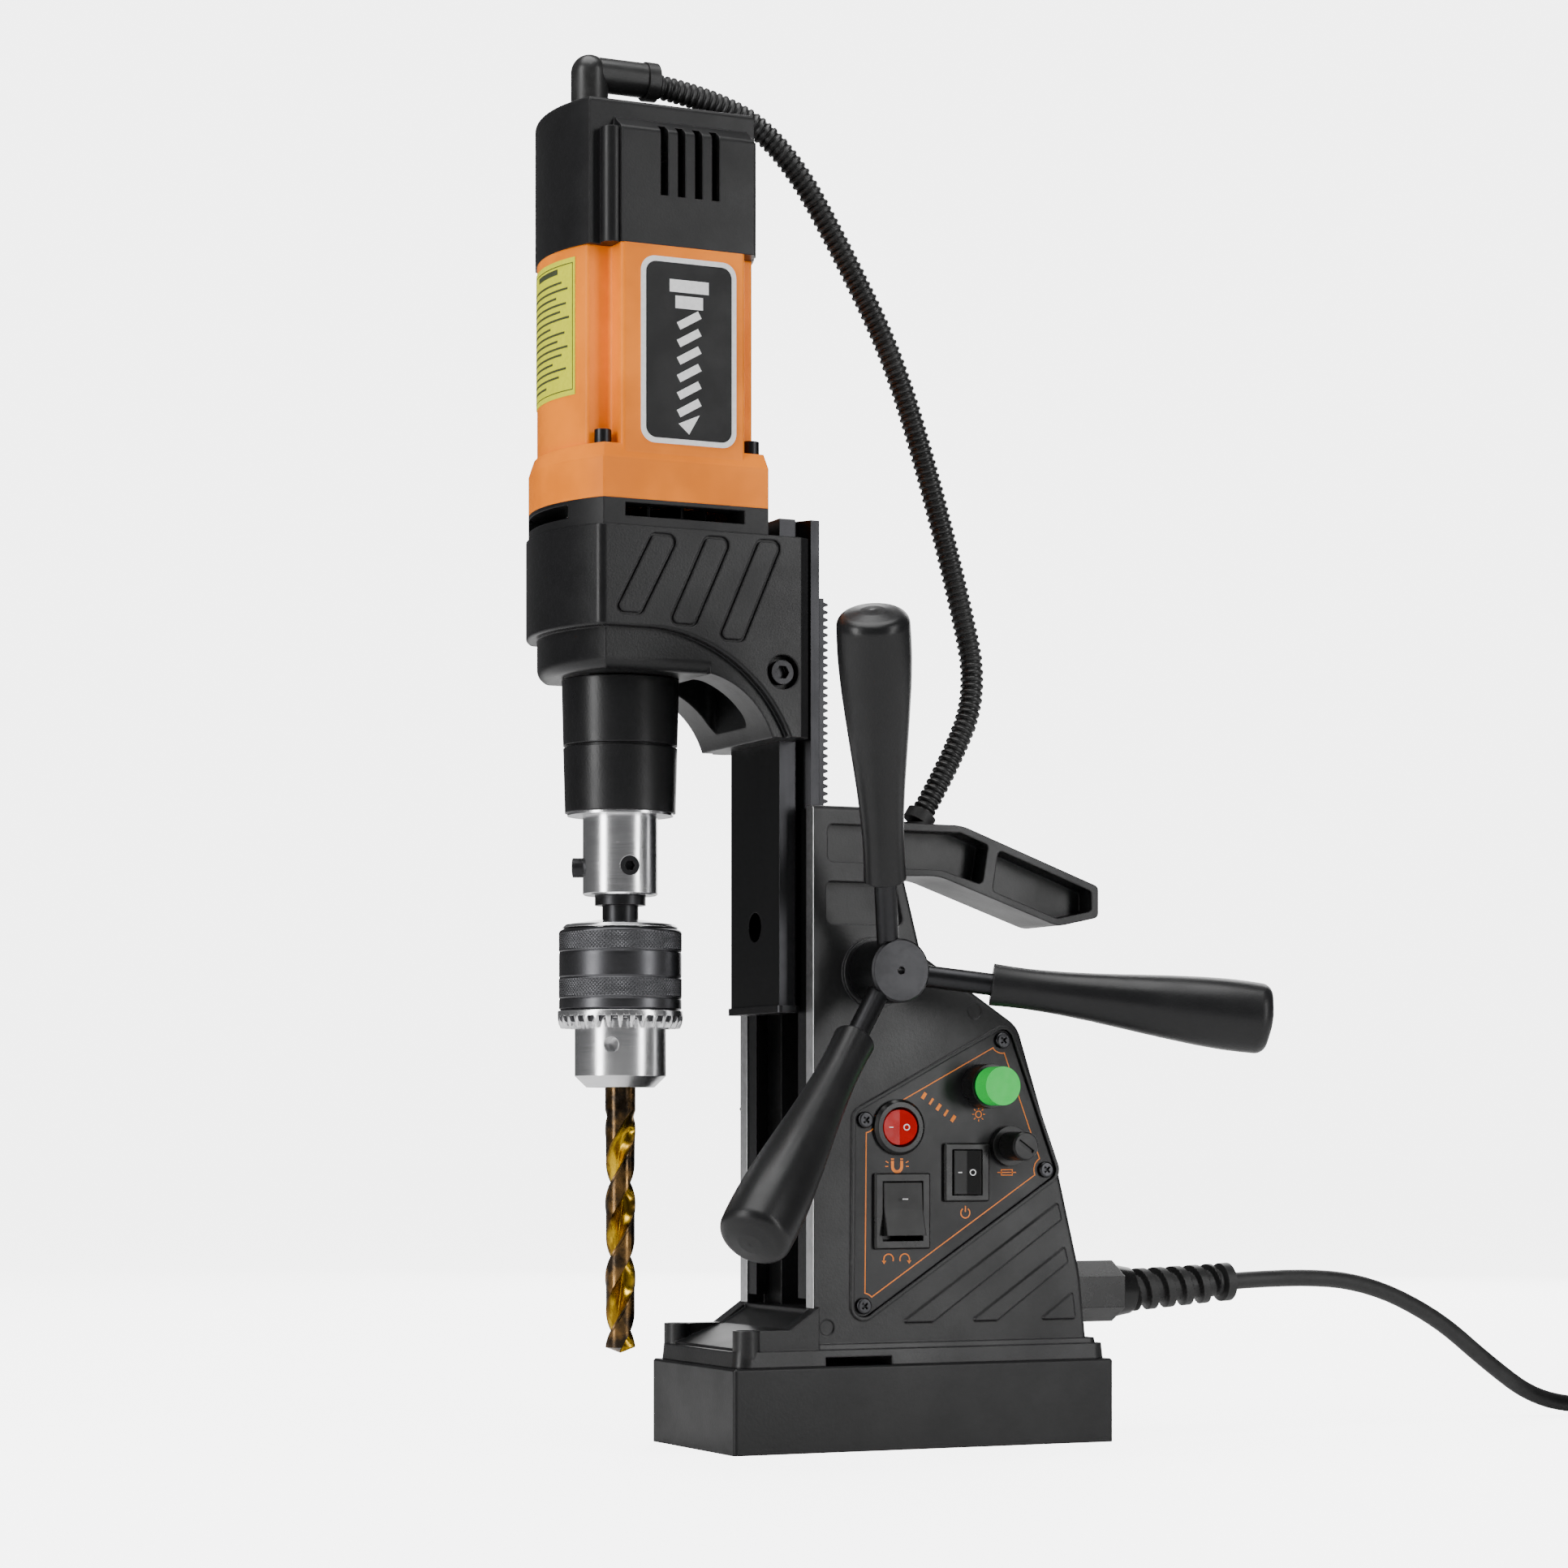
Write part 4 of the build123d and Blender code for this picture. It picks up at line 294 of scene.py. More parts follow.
MATERIALS = {
    "stand_black": stand_paint(),
    "magnet_steel": coated("magnet_steel", (0.0065, 0.0065, 0.007), 0.36, edge_radius=0.0007),
    "motor_orange": coated("motor_orange", (0.93, 0.215, 0.0), 0.42, grain=1400, grain_height=0.00004,
                           edge_radius=0.0009, edge_rub_and_highlight_colour=(0.98, 0.32, 0.02), edge_rub_and_highlight=0.3,
                           Specular_IOR_Level=0.2),
    "cover_black": coated("cover_black", (0.0065, 0.0065, 0.007), 0.4, grain=1300, edge_radius=0.0007),
    "panel_black": coated("panel_black", (0.0065, 0.0065, 0.007), 0.36, grain=1800, grain_height=0.00003),
    "switch_black": coated("switch_black", (0.006, 0.006, 0.006), 0.3, grain=1600, grain_height=0.00002,
                           edge_radius=0.0004),
    "rocker_black": coated("rocker_black", (0.008, 0.008, 0.008), 0.34, grain=1600, grain_height=0.00002,
                           edge_radius=0.0006, Specular_IOR_Level=0.22),
    # the red rocker's glow is painted light that fills its shaded half with red
    "rocker_red": lens_glow("rocker_red", (0.26, 0.002, 0.002), (0.9, 0.004, 0.003), 0.22),
    "lamp_green": lens_glow("lamp_green", (0.0, 0.17, 0.02), (0.012, 0.95, 0.11), 0.62),
    "grip_black": coated("grip_black", (0.0085, 0.0085, 0.009), 0.36, grain=1200, edge_radius=0.0010),
    "steel_bright": plain_metal("steel_bright", (0.80, 0.80, 0.81), 0.2),
    "steel_zinc": plain_metal("steel_zinc", (0.045, 0.045, 0.048), 0.3, (500, 500, 500)),
    "steel_dark": plain_metal("steel_dark", (0.038, 0.038, 0.04), 0.36, (700, 700, 700)),
    "slide_steel": plain_metal("slide_steel", (0.03, 0.03, 0.032), 0.3, (300, 3000, 24)),
    "sleeve_dark": plain_metal("sleeve_dark", (0.085, 0.085, 0.09), 0.33, (80, 80, 2600)),
    "conduit_black": rubber("conduit_black", (0.012, 0.012, 0.012), 0.38),
    "cable_rubber": rubber("cable_rubber"),
    "bronze": plain_metal("bronze", (0.62, 0.40, 0.16), 0.34),
    "copper": plain_metal("copper", (0.72, 0.33, 0.17), 0.3, (900, 900, 3200)),
    "laminations": plain_metal("laminations", (0.32, 0.32, 0.33), 0.42, (40, 40, 5200)),
    "potting": coated("potting", (0.02, 0.02, 0.022), 0.3),
    "board_green": coated("board_green", (0.02, 0.16, 0.06), 0.35),
    "carbon": rubber("carbon", (0.03, 0.03, 0.03), 0.6),
    "drill_gold": drill_metal(),
}
WHITE_INK = printed("white_ink", (0.85, 0.85, 0.85))
ORANGE_INK = printed("orange_ink", (0.95, 0.24, 0.02))
PLATE_BLACK = printed("plate_black", (0.006, 0.006, 0.0065), 0.4)
NOTICE_YELLOW = printed("notice_yellow", (0.68, 0.70, 0.015), 0.45)
NOTICE_INK = printed("notice_ink", (0.05, 0.06, 0.03), 0.5)

for part in frame["record"]["subparts"]:
    for material_slot in NODES[part["node"]].material_slots:
        material_slot.material = MATERIALS[part["material_slot"]]
HEAD_PAINT = coated("head_black", (0.0065, 0.0065, 0.007), 0.34, grain=1100, grain_height=0.00009,
                    edge_radius=0.0009, edge_rub_and_highlight=0.3)
for painted_node in ("gearbox_housing", "spindle_sleeve"):
    for material_slot in NODES[painted_node].material_slots:
        material_slot.material = HEAD_PAINT


# ---------------------------------------------------------------- mesh tools
def piece(name, bm, material, body, smooth=60, *replaced):
    """Turns a bmesh in millimetres into a finished piece that rides on a body."""
    bmesh.ops.scale(bm, vec=(MM, MM, MM), verts=bm.verts)
    bmesh.ops.recalc_face_normals(bm, faces=bm.faces)
    mesh = bpy.data.meshes.new(name)
    bm.to_mesh(mesh)
    bm.free()
    made = bpy.data.objects.new(name, mesh)
    COLLECTION.objects.link(made)
    mesh.materials.append(material)
    if smooth:
        mesh.shade_smooth()
        mesh.set_sharp_from_angle(angle=radians(smooth))
    if replaced:
        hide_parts(*replaced)
    if body:
        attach(made, body)
    return made


def skin_rows(bm, rows, caps=True):
    """Quads between rows of vertices; a row closes on itself, and the end rows may be capped."""
    count = len(rows[0])
    for lower, upper in zip(rows, rows[1:]):
        for i in range(count):
            j = (i + 1) % count
            bm.faces.new((lower[i], lower[j], upper[j], upper[i]))
    if caps:
        bm.faces.new(rows[0])
        bm.faces.new(rows[-1])


def skin_rings(bm, rings, caps=True):
    """skin_rows over rings of points."""
    skin_rows(bm, [[bm.verts.new(p) for p in ring] for ring in rings], caps)


def round_ring(centre, z, radius_at, count):
    """A horizontal ring of points, whose radius may change with the angle."""
    points = []
    for i in range(count):
        angle = tau * i / count
        r = radius_at(angle)
        points.append((centre[0] + r * cos(angle), centre[1] + r * sin(angle), z))
    return points


# ---------------------------------------------------------------- cords
CABLE_D, CONDUIT_D = 7.5, 10.0
CABLE_FLOOR = CABLE_D / 2 + 0.05
COIL_AT, COIL_RADII, COIL_LAYERS, TURN_PITCH = (388.0, -46.0), (37.2, 44.8), 4, 7.6
SHIFT_FROM = 0.7  # the share of a turn after which the cable moves to the next radius or layer
RELIEF_START, RELIEF_END, GLAND_Z, RELIEF_RISE = 118.5, 170.2, 61.5, 3.0
relief_axis = Vector((RELIEF_END - RELIEF_START, 0, RELIEF_RISE)).normalized()
CABLE_EXIT = Vector((RELIEF_END, 0, GLAND_Z + RELIEF_RISE)) - 3 * relief_axis  # 3 mm inside the relief
LAID = [tuple(CABLE_EXIT), (203, 0, 66.4), (242, 0, 63.0), (279, 0, 47.0), (308, 0, 25.0), (333, -0.4, 8.5),
        (361, -1.0, CABLE_FLOOR)]
PLUG_BACK_Y, PLUG_Z = COIL_AT[1] - 50, 17.7
TURN_POINTS = 16


def coil_points():
    """The coil's turns: out to in, in to out, layer by layer, clockwise from above."""
    turns = 2 * COIL_LAYERS
    inner, outer = COIL_RADII
    stations = [(outer, inner, inner, outer)[k % 4] for k in range(turns)] + [outer]
    points = []
    for step in range(1, turns * TURN_POINTS + TURN_POINTS // 4 + 1):
        turn, part_turn = divmod(step / TURN_POINTS, 1.0)
        here, after = stations[int(turn)], stations[min(int(turn) + 1, turns)]
        ease = max(0.0, (part_turn - SHIFT_FROM) / (1 - SHIFT_FROM))
        ease = ease * ease * (3 - 2 * ease)
        layer = int(turn) // 2
        climb = ease if int(turn) % 2 == 1 and layer < COIL_LAYERS - 1 else 0.0
        layer = min(layer, COIL_LAYERS - 1)
        angle = pi / 2 - tau * step / TURN_POINTS
        r = (here + (after - here) * ease) / cos(pi / TURN_POINTS) ** 0.5
        points.append((COIL_AT[0] + r * cos(angle), COIL_AT[1] + r * sin(angle),
                       CABLE_FLOOR + TURN_PITCH * (layer + climb)))
    return points


def cord_curve(name, points, diameter):
    """One smooth open NURBS spline with these points as its control points, in millimetres."""
    curve = bpy.data.curves.new(name, "CURVE")
    curve.dimensions = "3D"
    spline = curve.splines.new("NURBS")
    spline.points.add(len(points) - 1)
    for target, point in zip(spline.points, points):
        target.co = (*(Vector(point) * MM), 1.0)
    spline.order_u = 3
    spline.use_endpoint_u = True
    spline.resolution_u = 6
    curve.bevel_depth = diameter * MM / 2
    curve.bevel_resolution = 6
    curve.use_fill_caps = True
    made = bpy.data.objects.new(name, curve)
    COLLECTION.objects.link(made)
    return made


wound = coil_points()
lead_x = COIL_AT[0] + COIL_RADII[1]
LEAD = [(lead_x + 0.6, COIL_AT[1] - 25, wound[-1][2] - 1.2), (lead_x, PLUG_BACK_Y, PLUG_Z + 0.4)]
cable = cord_curve("mains_cord", LAID + wound + LEAD, CABLE_D)
cable.data.materials.append(MATERIALS["cable_rubber"])
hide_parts("mains_cable", "cable_coil")
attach(cable, "stand")


def centreline(curve):
    """The points of a curve's smooth line, in millimetres."""
    curve.data.bevel_depth = 0
    bpy.context.view_layer.update()
    mesh = bpy.data.meshes.new_from_object(curve)
    points = [v.co / MM for v in mesh.vertices]
    bpy.data.meshes.remove(mesh)
    return points


def walk(points, spacing):
    """Points at even spacing along a line, each with its direction and distance."""
    lengths = [0.0]
    for a, b in zip(points, points[1:]):
        lengths.append(lengths[-1] + (b - a).length)
    count = max(2, round(lengths[-1] / spacing))
    out, k = [], 0
    for i in range(count + 1):
        target = lengths[-1] * i / count
        while k < len(points) - 2 and lengths[k + 1] < target:
            k += 1
        share = (target - lengths[k]) / max(1e-9, lengths[k + 1] - lengths[k])
        out.append((points[k].lerp(points[k + 1], share), (points[k + 1] - points[k]).normalized(), target))
    return out


def tube_along(bm, stations, radius_at, count):
    """Rings round a line in the XZ plane; radius_at(distance, angle) gives the radius."""
    rings = []
    for centre, heading, distance in stations:
        up = heading.cross(Vector((0, 1, 0))).normalized()
        across = up.cross(heading).normalized()
        ring = []
        for i in range(count):
            angle = tau * i / count
            r = radius_at(distance, angle)
            ring.append(centre + across * (r * cos(angle)) + up * (r * sin(angle)))
        rings.append(ring)
    skin_rings(bm, rings)


CONDUIT_FOOT = (15.4, 259.3)
COLLAR_END = -104.2
CONDUIT_ROUTE = [(COLLAR_END - 1, 0, 558.5), (-73, 0, 555.4), (-44, 0, 538), (-16, 0, 494), (5, 0, 456),
                 (21, 0, 410), (35, 0, 361), (45.5, 0, 318), (30.5, 0, 284),
                 (CONDUIT_FOOT[0] + 1.8, 0, CONDUIT_FOOT[1] + 3.4)]
CORRUGATION, GROOVE_R, RIB_HEIGHT = 2.9, 4.15, 0.85


def corrugated(distance, angle):
    """Rounded ribs with narrower grooves between them."""
    phase = (distance / CORRUGATION) % 1.0
    rib = min(1.0, max(0.0, 1.6 * (0.5 + 0.5 * cos(tau * phase)) - 0.18))
    return GROOVE_R + RIB_HEIGHT * rib


route = cord_curve("conduit_route", CONDUIT_ROUTE, CONDUIT_D)
line = centreline(route)
bpy.data.objects.remove(route)
bm = bmesh.new()
tube_along(bm, walk(line, CORRUGATION / 7), corrugated, 24)
conduit = piece("corrugated_conduit", bm, MATERIALS["conduit_black"], None, 40, "motor_conduit")
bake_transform(conduit)

# ---------------------------------------------------------------- strain relief: a spiral sleeve on the cable
relief_length = hypot(RELIEF_END - RELIEF_START, RELIEF_RISE)
SPIRAL_TURNS, SPIRAL_END, COLLAR_FROM = 5.0, 44.5, 46.0
CORE_R, CORE_TAPER, FIN_R, FIN_TAPER, COLLAR_R = 6.6, 0.8, 9.3, 0.02, 8.4
RELIEF_STEPS = 150


def spiral(distance, angle):
    """A core with a broad helical fin, and a plain collar where the cable comes out."""
    core = CORE_R - CORE_TAPER * distance / relief_length
    if distance > COLLAR_FROM:
        collar = min(1.0, (distance - COLLAR_FROM) / 0.8, (relief_length - distance) / 0.8 + 0.35)
        return core + (COLLAR_R - core) * max(0.0, collar)
    phase = (SPIRAL_TURNS * distance / SPIRAL_END - angle / tau) % 1.0
    fin = min(1.0, max(0.0, (0.31 - abs(phase - 0.5)) / 0.085))
    fade = min(1.0, distance / 2.5, max(0.0, SPIRAL_END - distance) / 2.0)
    return core + (FIN_R - FIN_TAPER * distance - core) * fin * fade


base_point = Vector((RELIEF_START, 0, GLAND_Z))
bm = bmesh.new()
distances = [relief_length * k / RELIEF_STEPS for k in range(RELIEF_STEPS + 1)]
tube_along(bm, [(base_point + relief_axis * d, relief_axis, d) for d in distances], spiral, 72)
relief = piece("spiral_strain_relief", bm, MATERIALS["cable_rubber"], "stand", 35, "strain_relief")

# ---------------------------------------------------------------- chuck sleeve with knurled bands and key teeth
low, high = box_mm("chuck_sleeve")
SPINDLE = ((low.x + high.x) / 2, (low.y + high.y) / 2)
SLEEVE_TOP = high.z
SLEEVE_R, KNURL_COUNT, KNURL_DEPTH = 25.1, 104, 0.42
SLEEVE_COUNT = KNURL_COUNT * 6  # points round the sleeve
BORE_R, RECESS_R, RECESS_FOOT, RECESS_TOP = 18.75, 21.7, 176.2, 205.0  # room for the jaws inside the sleeve
TEETH_TOP, TEETH_ROOT, TEETH_TIP = 179.5, 177.2, 172.4
BANDS = ((185.0, 192.4), (204.0, 211.4))
GROOVES, GROOVE_HALF, GROOVE_DEPTH = (203.4, 193.0, 184.4), 0.45, 0.35
PLAIN_DROP = 0.12  # how far the plain turned surface lies under the diamonds
TOP_ROUND, FOOT_ROUND = (1.6, 1.9), (0.9, 0.9)  # height and depth of the rounded ends


def knurl(z, angle):
    """Raised diamonds in the two bands, and fine turned grooves beside them."""
    r = SLEEVE_R - PLAIN_DROP
    for foot, top in BANDS:
        if foot <= z <= top:
            slant = (z - foot) * KNURL_COUNT / (tau * SLEEVE_R)
            a = angle * KNURL_COUNT / tau
            first = abs(((a + slant) % 1.0) - 0.5) * 2
            second = abs(((a - slant) % 1.0) - 0.5) * 2
            fade = min(1.0, (z - foot) / 0.4, (top - z) / 0.4)
            return SLEEVE_R - KNURL_DEPTH * max(first, second) ** 1.6 * fade
    for groove in GROOVES:
        r -= GROOVE_DEPTH * max(0.0, 1 - abs(z - groove) / GROOVE_HALF)
    for (height, depth), inside in ((TOP_ROUND, SLEEVE_TOP - z), (FOOT_ROUND, z - TEETH_TOP)):
        if inside < height:
            r -= depth * ((height - inside) / height) ** 2
    return r


def sleeve_heights():
    """Close rows in the knurled bands and near the grooves, wide rows elsewhere."""
    heights, z = [], TEETH_TOP
    while z < SLEEVE_TOP:
        heights.append(z)
        fine = any(foot - 0.3 <= z <= top + 0.1 for foot, top in BANDS)
        z += 0.24 if fine else 0.3 if any(abs(z - g) < 0.8 for g in GROOVES) or z > SLEEVE_TOP - 2 else 0.9
    return heights + [SLEEVE_TOP]


bm = bmesh.new()
outer = [round_ring(SPINDLE, z, lambda a, z=z: knurl(z, a), SLEEVE_COUNT) for z in sleeve_heights()]
bore = ((BORE_R, SLEEVE_TOP), (BORE_R, RECESS_TOP), (RECESS_R, RECESS_TOP), (RECESS_R, TEETH_TOP))
inner = [round_ring(SPINDLE, z, lambda a, r=r: r, SLEEVE_COUNT) for r, z in bore]
skin_rings(bm, outer + inner + outer[:1], caps=False)
bmesh.ops.remove_doubles(bm, verts=bm.verts, dist=0.0005)
sleeve = piece("knurled_chuck_sleeve", bm, MATERIALS["sleeve_dark"], "chuck_sleeve", 30, "chuck_sleeve")

KEY_TEETH, TOOTH_SAMPLES = 32, 20
RING_R, RING_EDGE_R = 25.5, 25.35  # the toothed ring's outside, and its eased upper edge
SHADED_GAP_BELOW = 0.6  # faces on less than this much of a tooth are in a gap and get the dark material as painted shade


def tooth(angle):
    """0 in a gap between key teeth, 1 on a tooth, with sloping flanks."""
    phase = abs(((angle * KEY_TEETH / tau) % 1.0) - 0.5) * 2
    return min(1.0, max(0.0, (phase - 0.34) / 0.5))


bm = bmesh.new()
# the ring's section as (radius, height, whether the row drops with the teeth)
profile = ((RECESS_R, TEETH_TOP, False), (RING_EDGE_R, TEETH_TOP, False), (RING_R, TEETH_TOP - 0.3, False),
           (RING_R, TEETH_ROOT, False), (RING_R - 0.05, TEETH_ROOT - 1.2, True),
           (RING_R - 0.4, TEETH_ROOT - 3.2, True), (RING_R - 1.2, TEETH_TIP, True), (21.6, TEETH_TIP, True),
           (20.4, TEETH_ROOT - 1.5, True), (BORE_R, TEETH_ROOT - 1.6, False), (BORE_R, RECESS_FOOT, False),
           (RECESS_R, RECESS_FOOT, False))
rings = []
for r, z, toothed in profile:
    ring = []
    for i in range(KEY_TEETH * TOOTH_SAMPLES):
        a = tau * i / (KEY_TEETH * TOOTH_SAMPLES)
        drop = TEETH_ROOT + (z - TEETH_ROOT) * tooth(a) if toothed else z
        ring.append((SPINDLE[0] + r * cos(a), SPINDLE[1] + r * sin(a), drop))
    rings.append(ring)
skin_rings(bm, rings + rings[:1], caps=False)
bmesh.ops.remove_doubles(bm, verts=bm.verts, dist=0.0005)
# painted shade: the floors of the gaps between the teeth take the dark material
for face in bm.faces:
    centre = face.calc_center_median()
    angle = atan2(centre.y - SPINDLE[1], centre.x - SPINDLE[0])
    if centre.z < TEETH_ROOT - 0.05 or centre.z < TEETH_ROOT + 0.05 and abs(face.normal.z) > 0.5:
        face.material_index = 1 if tooth(angle) < SHADED_GAP_BELOW else 0
teeth = piece("chuck_key_teeth", bm, MATERIALS["steel_bright"], "chuck_sleeve", 35)
# the second material is the painted shade in the gaps
teeth.data.materials.append(MATERIALS["sleeve_dark"])

# ---------------------------------------------------------------- twist drill
low, high = box_mm("drill_bit")
DRILL_R, DRILL_TIP, DRILL_TOP = 6.2, low.z, high.z
SHOULDER, FLUTE_END, LEAD_HEIGHT = DRILL_TIP + 2.4, 139.0, 60.4
FADE_HEIGHT = 24.0  # over which the flutes run out
LAND_DROP, WEB_R = 0.32, 1.35  # clearance behind the lip, and the core between the flutes
TWIST_START = radians(166)
DRILL_COUNT, DRILL_STEP = 96, 0.9


def flute_depth(z):
    """1 where the flutes are full, fading out towards the shank."""
    t = min(1.0, max(0.0, (FLUTE_END - z) / FADE_HEIGHT))
    return sin(t * pi / 2)


def drill_section(angle):
    """(radius, 1 in a flute and 0 on a land) of a two-flute section at this angle."""
    a = angle % pi
    land, lip = radians(88), radians(9)
    if a < lip:
        return DRILL_R, 0.0
    if a < land:
        return DRILL_R - LAND_DROP, 0.0
    t = (a - land) / (pi - land)
    hollow = sin(pi * t) ** 0.62
    return DRILL_R - LAND_DROP * (1 - t) - (DRILL_R - WEB_R) * hollow, min(1.0, hollow * 2.5)


bm = bmesh.new()
flute_layer = bm.verts.layers.float.new("flute")
heights = [DRILL_TIP + rise for rise in (0.02, 0.5, 1.0, 1.6)] + [SHOULDER]
heights += [SHOULDER + DRILL_STEP * k for k in range(1, int((FLUTE_END - SHOULDER) / DRILL_STEP))]
heights += [FLUTE_END, FLUTE_END + 1, DRILL_TOP]
rows = []
for z in heights:
    twist = TWIST_START + tau * (min(z, FLUTE_END) - SHOULDER) / LEAD_HEIGHT
    cone = min(1.0, (z - DRILL_TIP) / (SHOULDER - DRILL_TIP))
    depth = flute_depth(z)
    row = []
    for i in range(DRILL_COUNT):
        a = tau * i / DRILL_COUNT
        r, in_flute = drill_section(a)
        r = (DRILL_R - (DRILL_R - r) * depth) * cone
        vert = bm.verts.new((SPINDLE[0] + r * cos(a + twist), SPINDLE[1] + r * sin(a + twist), z))
        vert[flute_layer] = in_flute * min(1.0, depth * 2)
        row.append(vert)
    rows.append(row)
skin_rows(bm, rows)
drill = piece("twist_drill", bm, MATERIALS["drill_gold"], "spindle", 32, "drill_bit")


# ---------------------------------------------------------------- flat print and labels
PRINT = 0.06  # thickness of printed ink


def strip(bm, points, width, y, closed=False):
    """A flat printed line of even width through (X, Z) points, on the plane at Y."""
    count = len(points)
    sides = []
    for i, (x, z) in enumerate(points):
        before = points[i - 1] if closed or i > 0 else points[i]
        after = points[(i + 1) % count] if closed or i < count - 1 else points[i]
        d1 = Vector((x - before[0], z - before[1]))
        d2 = Vector((after[0] - x, after[1] - z))
        d1 = d1.normalized() if d1.length > 1e-6 else d2.normalized()
        d2 = d2.normalized() if d2.length > 1e-6 else d1
        n = Vector((-(d1.y + d2.y), d1.x + d2.x)).normalized()
        reach = width / 2 / max(0.35, n.dot(Vector((-d1.y, d1.x))))
        sides.append(((x + n.x * reach, z + n.y * reach), (x - n.x * reach, z - n.y * reach)))
    rings = [[(a[0], y, a[1]), (b[0], y, b[1]), (b[0], y - PRINT, b[1]), (a[0], y - PRINT, a[1])]
             for a, b in sides]
    skin_rings(bm, rings + rings[:1] if closed else rings, caps=not closed)
    if closed:
        bmesh.ops.remove_doubles(bm, verts=bm.verts, dist=0.0001)


def patch(bm, points, y, thick=PRINT):
    """A flat printed area inside an (X, Z) outline."""
    front = [bm.verts.new((x, y - thick, z)) for x, z in points]
    back = [bm.verts.new((x, y, z)) for x, z in points]
    bm.faces.new(front)
    bm.faces.new(list(reversed(back)))
    count = len(points)
    for i in range(count):
        j = (i + 1) % count
        bm.faces.new((front[i], front[j], back[j], back[i]))


def arc(cx, cz, r, start, end, count=16):
    """Points of an arc between two angles in degrees."""
    return [(cx + r * cos(radians(start + (end - start) * i / count)),
             cz + r * sin(radians(start + (end - start) * i / count))) for i in range(count + 1)]


def ring_points(cx, cz, r, count):
    """Points round a whole circle."""
    return arc(cx, cz, r, 0, 360, count)[:-1]


def rounded(cx, cz, width, height, r):
    """Outline of a rounded rectangle."""
    points = []
    for sx, sz, start in ((1, 1, 0), (-1, 1, 90), (-1, -1, 180), (1, -1, 270)):
        points += arc(cx + sx * (width / 2 - r), cz + sz * (height / 2 - r), r, start, start + 90, 8)
    return points


# ---------------------------------------------------------------- control panel print
PANEL_FACE = box_mm("control_panel")[0].y
PANEL_SCREWS = [(-26.1, 135.2), (37.7, 168.4), (58.2, 114.5), (-26.8, 59.0)]  # (X, Z)
BORDER_R, BORDER_TRIM = 5.3, 9  # the border's arc round a screw, cut short by this angle at each end


def centre_of(node):
    """The (X, Z) centre of a node's box."""
    low, high = box_mm(node)
    return (low.x + high.x) / 2, (low.z + high.z) / 2


def panel_strip(bm, points, width, closed=False):
    """A printed line on the panel's face."""
    strip(bm, points, width, PANEL_FACE, closed)


def border(bm):
    """A thin line inside the panel's edge that steps round each screw in an arc."""
    points = []
    count = len(PANEL_SCREWS)
    for i, (x, z) in enumerate(PANEL_SCREWS):
        before, after = Vector(PANEL_SCREWS[i - 1]), Vector(PANEL_SCREWS[(i + 1) % count])
        here = Vector((x, z))
        d_in, d_out = (before - here).normalized(), (after - here).normalized()
        a_in, a_out = degrees(atan2(d_in.y, d_in.x)), degrees(atan2(d_out.y, d_out.x))
        sweep = (a_out - a_in) % 360
        if sweep > 180:
            sweep -= 360
        trim = copysign(BORDER_TRIM, sweep)
        points += arc(x, z, BORDER_R, a_in + trim, a_in + sweep - trim, 10)
    panel_strip(bm, points, 0.45, closed=True)


def magnet_icon(bm):
    """A horseshoe magnet with two poles and field marks."""
    x, z = centre_of("magnet_rocker")
    z -= 16.2
    r = 2.1
    panel_strip(bm, [(x - r, z + 2.4)] + arc(x, z, r, 180, 360, 14) + [(x + r, z + 2.4)], 1.3)
    for side in (-1, 1):
        panel_strip(bm, [(x + side * r - 0.65, z + 3.1), (x + side * r + 0.65, z + 3.1)], 0.6)
        panel_strip(bm, [(x + side * 4.0, z + 1.6), (x + side * 5.2, z + 2.2)], 0.4)
        panel_strip(bm, [(x + side * 4.1, z + 0.1), (x + side * 5.4, z + 0.1)], 0.4)


def lamp_icon(bm):
    """A round lamp with rays."""
    x, z = centre_of("pilot_lamp_lens")
    x, z = x - 1.4, z - 11.6
    panel_strip(bm, ring_points(x, z, 1.35, 20), 0.45, closed=True)
    for inner, outer in zip(ring_points(x, z, 2.1, 8), ring_points(x, z, 3.0, 8)):
        panel_strip(bm, [inner, outer], 0.4)


def fuse_icon(bm):
    """A fuse: a box with a line through it."""
    x, z = centre_of("fuse_holder")
    x, z = x - 0.6, z - 11.0
    box = [(x - 2.6, z - 1.1), (x + 2.6, z - 1.1), (x + 2.6, z + 1.1), (x - 2.6, z + 1.1)]
    panel_strip(bm, box, 0.4, closed=True)
    panel_strip(bm, [(x - 4.4, z), (x + 4.4, z)], 0.4)


def power_icon(bm):
    """The usual power sign: an open ring and a bar."""
    x, z = centre_of("power_switch_frame")
    z -= 16.8
    panel_strip(bm, arc(x, z, 2.1, 125, 415, 22), 0.5)
    panel_strip(bm, [(x, z + 0.4), (x, z + 2.9)], 0.5)


def turning_icon(bm):
    """Two half-round arrows, one each way."""
    x, z = centre_of("direction_switch_frame")
    x, z = x - 2.0, z - 19.8
    for side in (-1, 1):
        start, end = (200, -20) if side > 0 else (-20, 200)
        sweep = arc(x + side * 3.7, z, 2.2, start, end, 14)
        panel_strip(bm, sweep, 0.5)
        tip_x, tip_z = sweep[-1]
        head = [(tip_x - 1.0, tip_z + 0.25), (tip_x + 1.0, tip_z + 0.25), (tip_x, tip_z - 1.2)]
        patch(bm, head, PANEL_FACE)


def slanted_bars(bm):
    """A falling row of slanted bars where the panel carries its heading."""
    for k in range(5):
        x, z = 0.4 + 3.4 * k, 144.0 - 2.35 * k
        panel_strip(bm, [(x, z), (x + 1.7, z + 2.4)], 1.0 if k % 2 else 1.5)


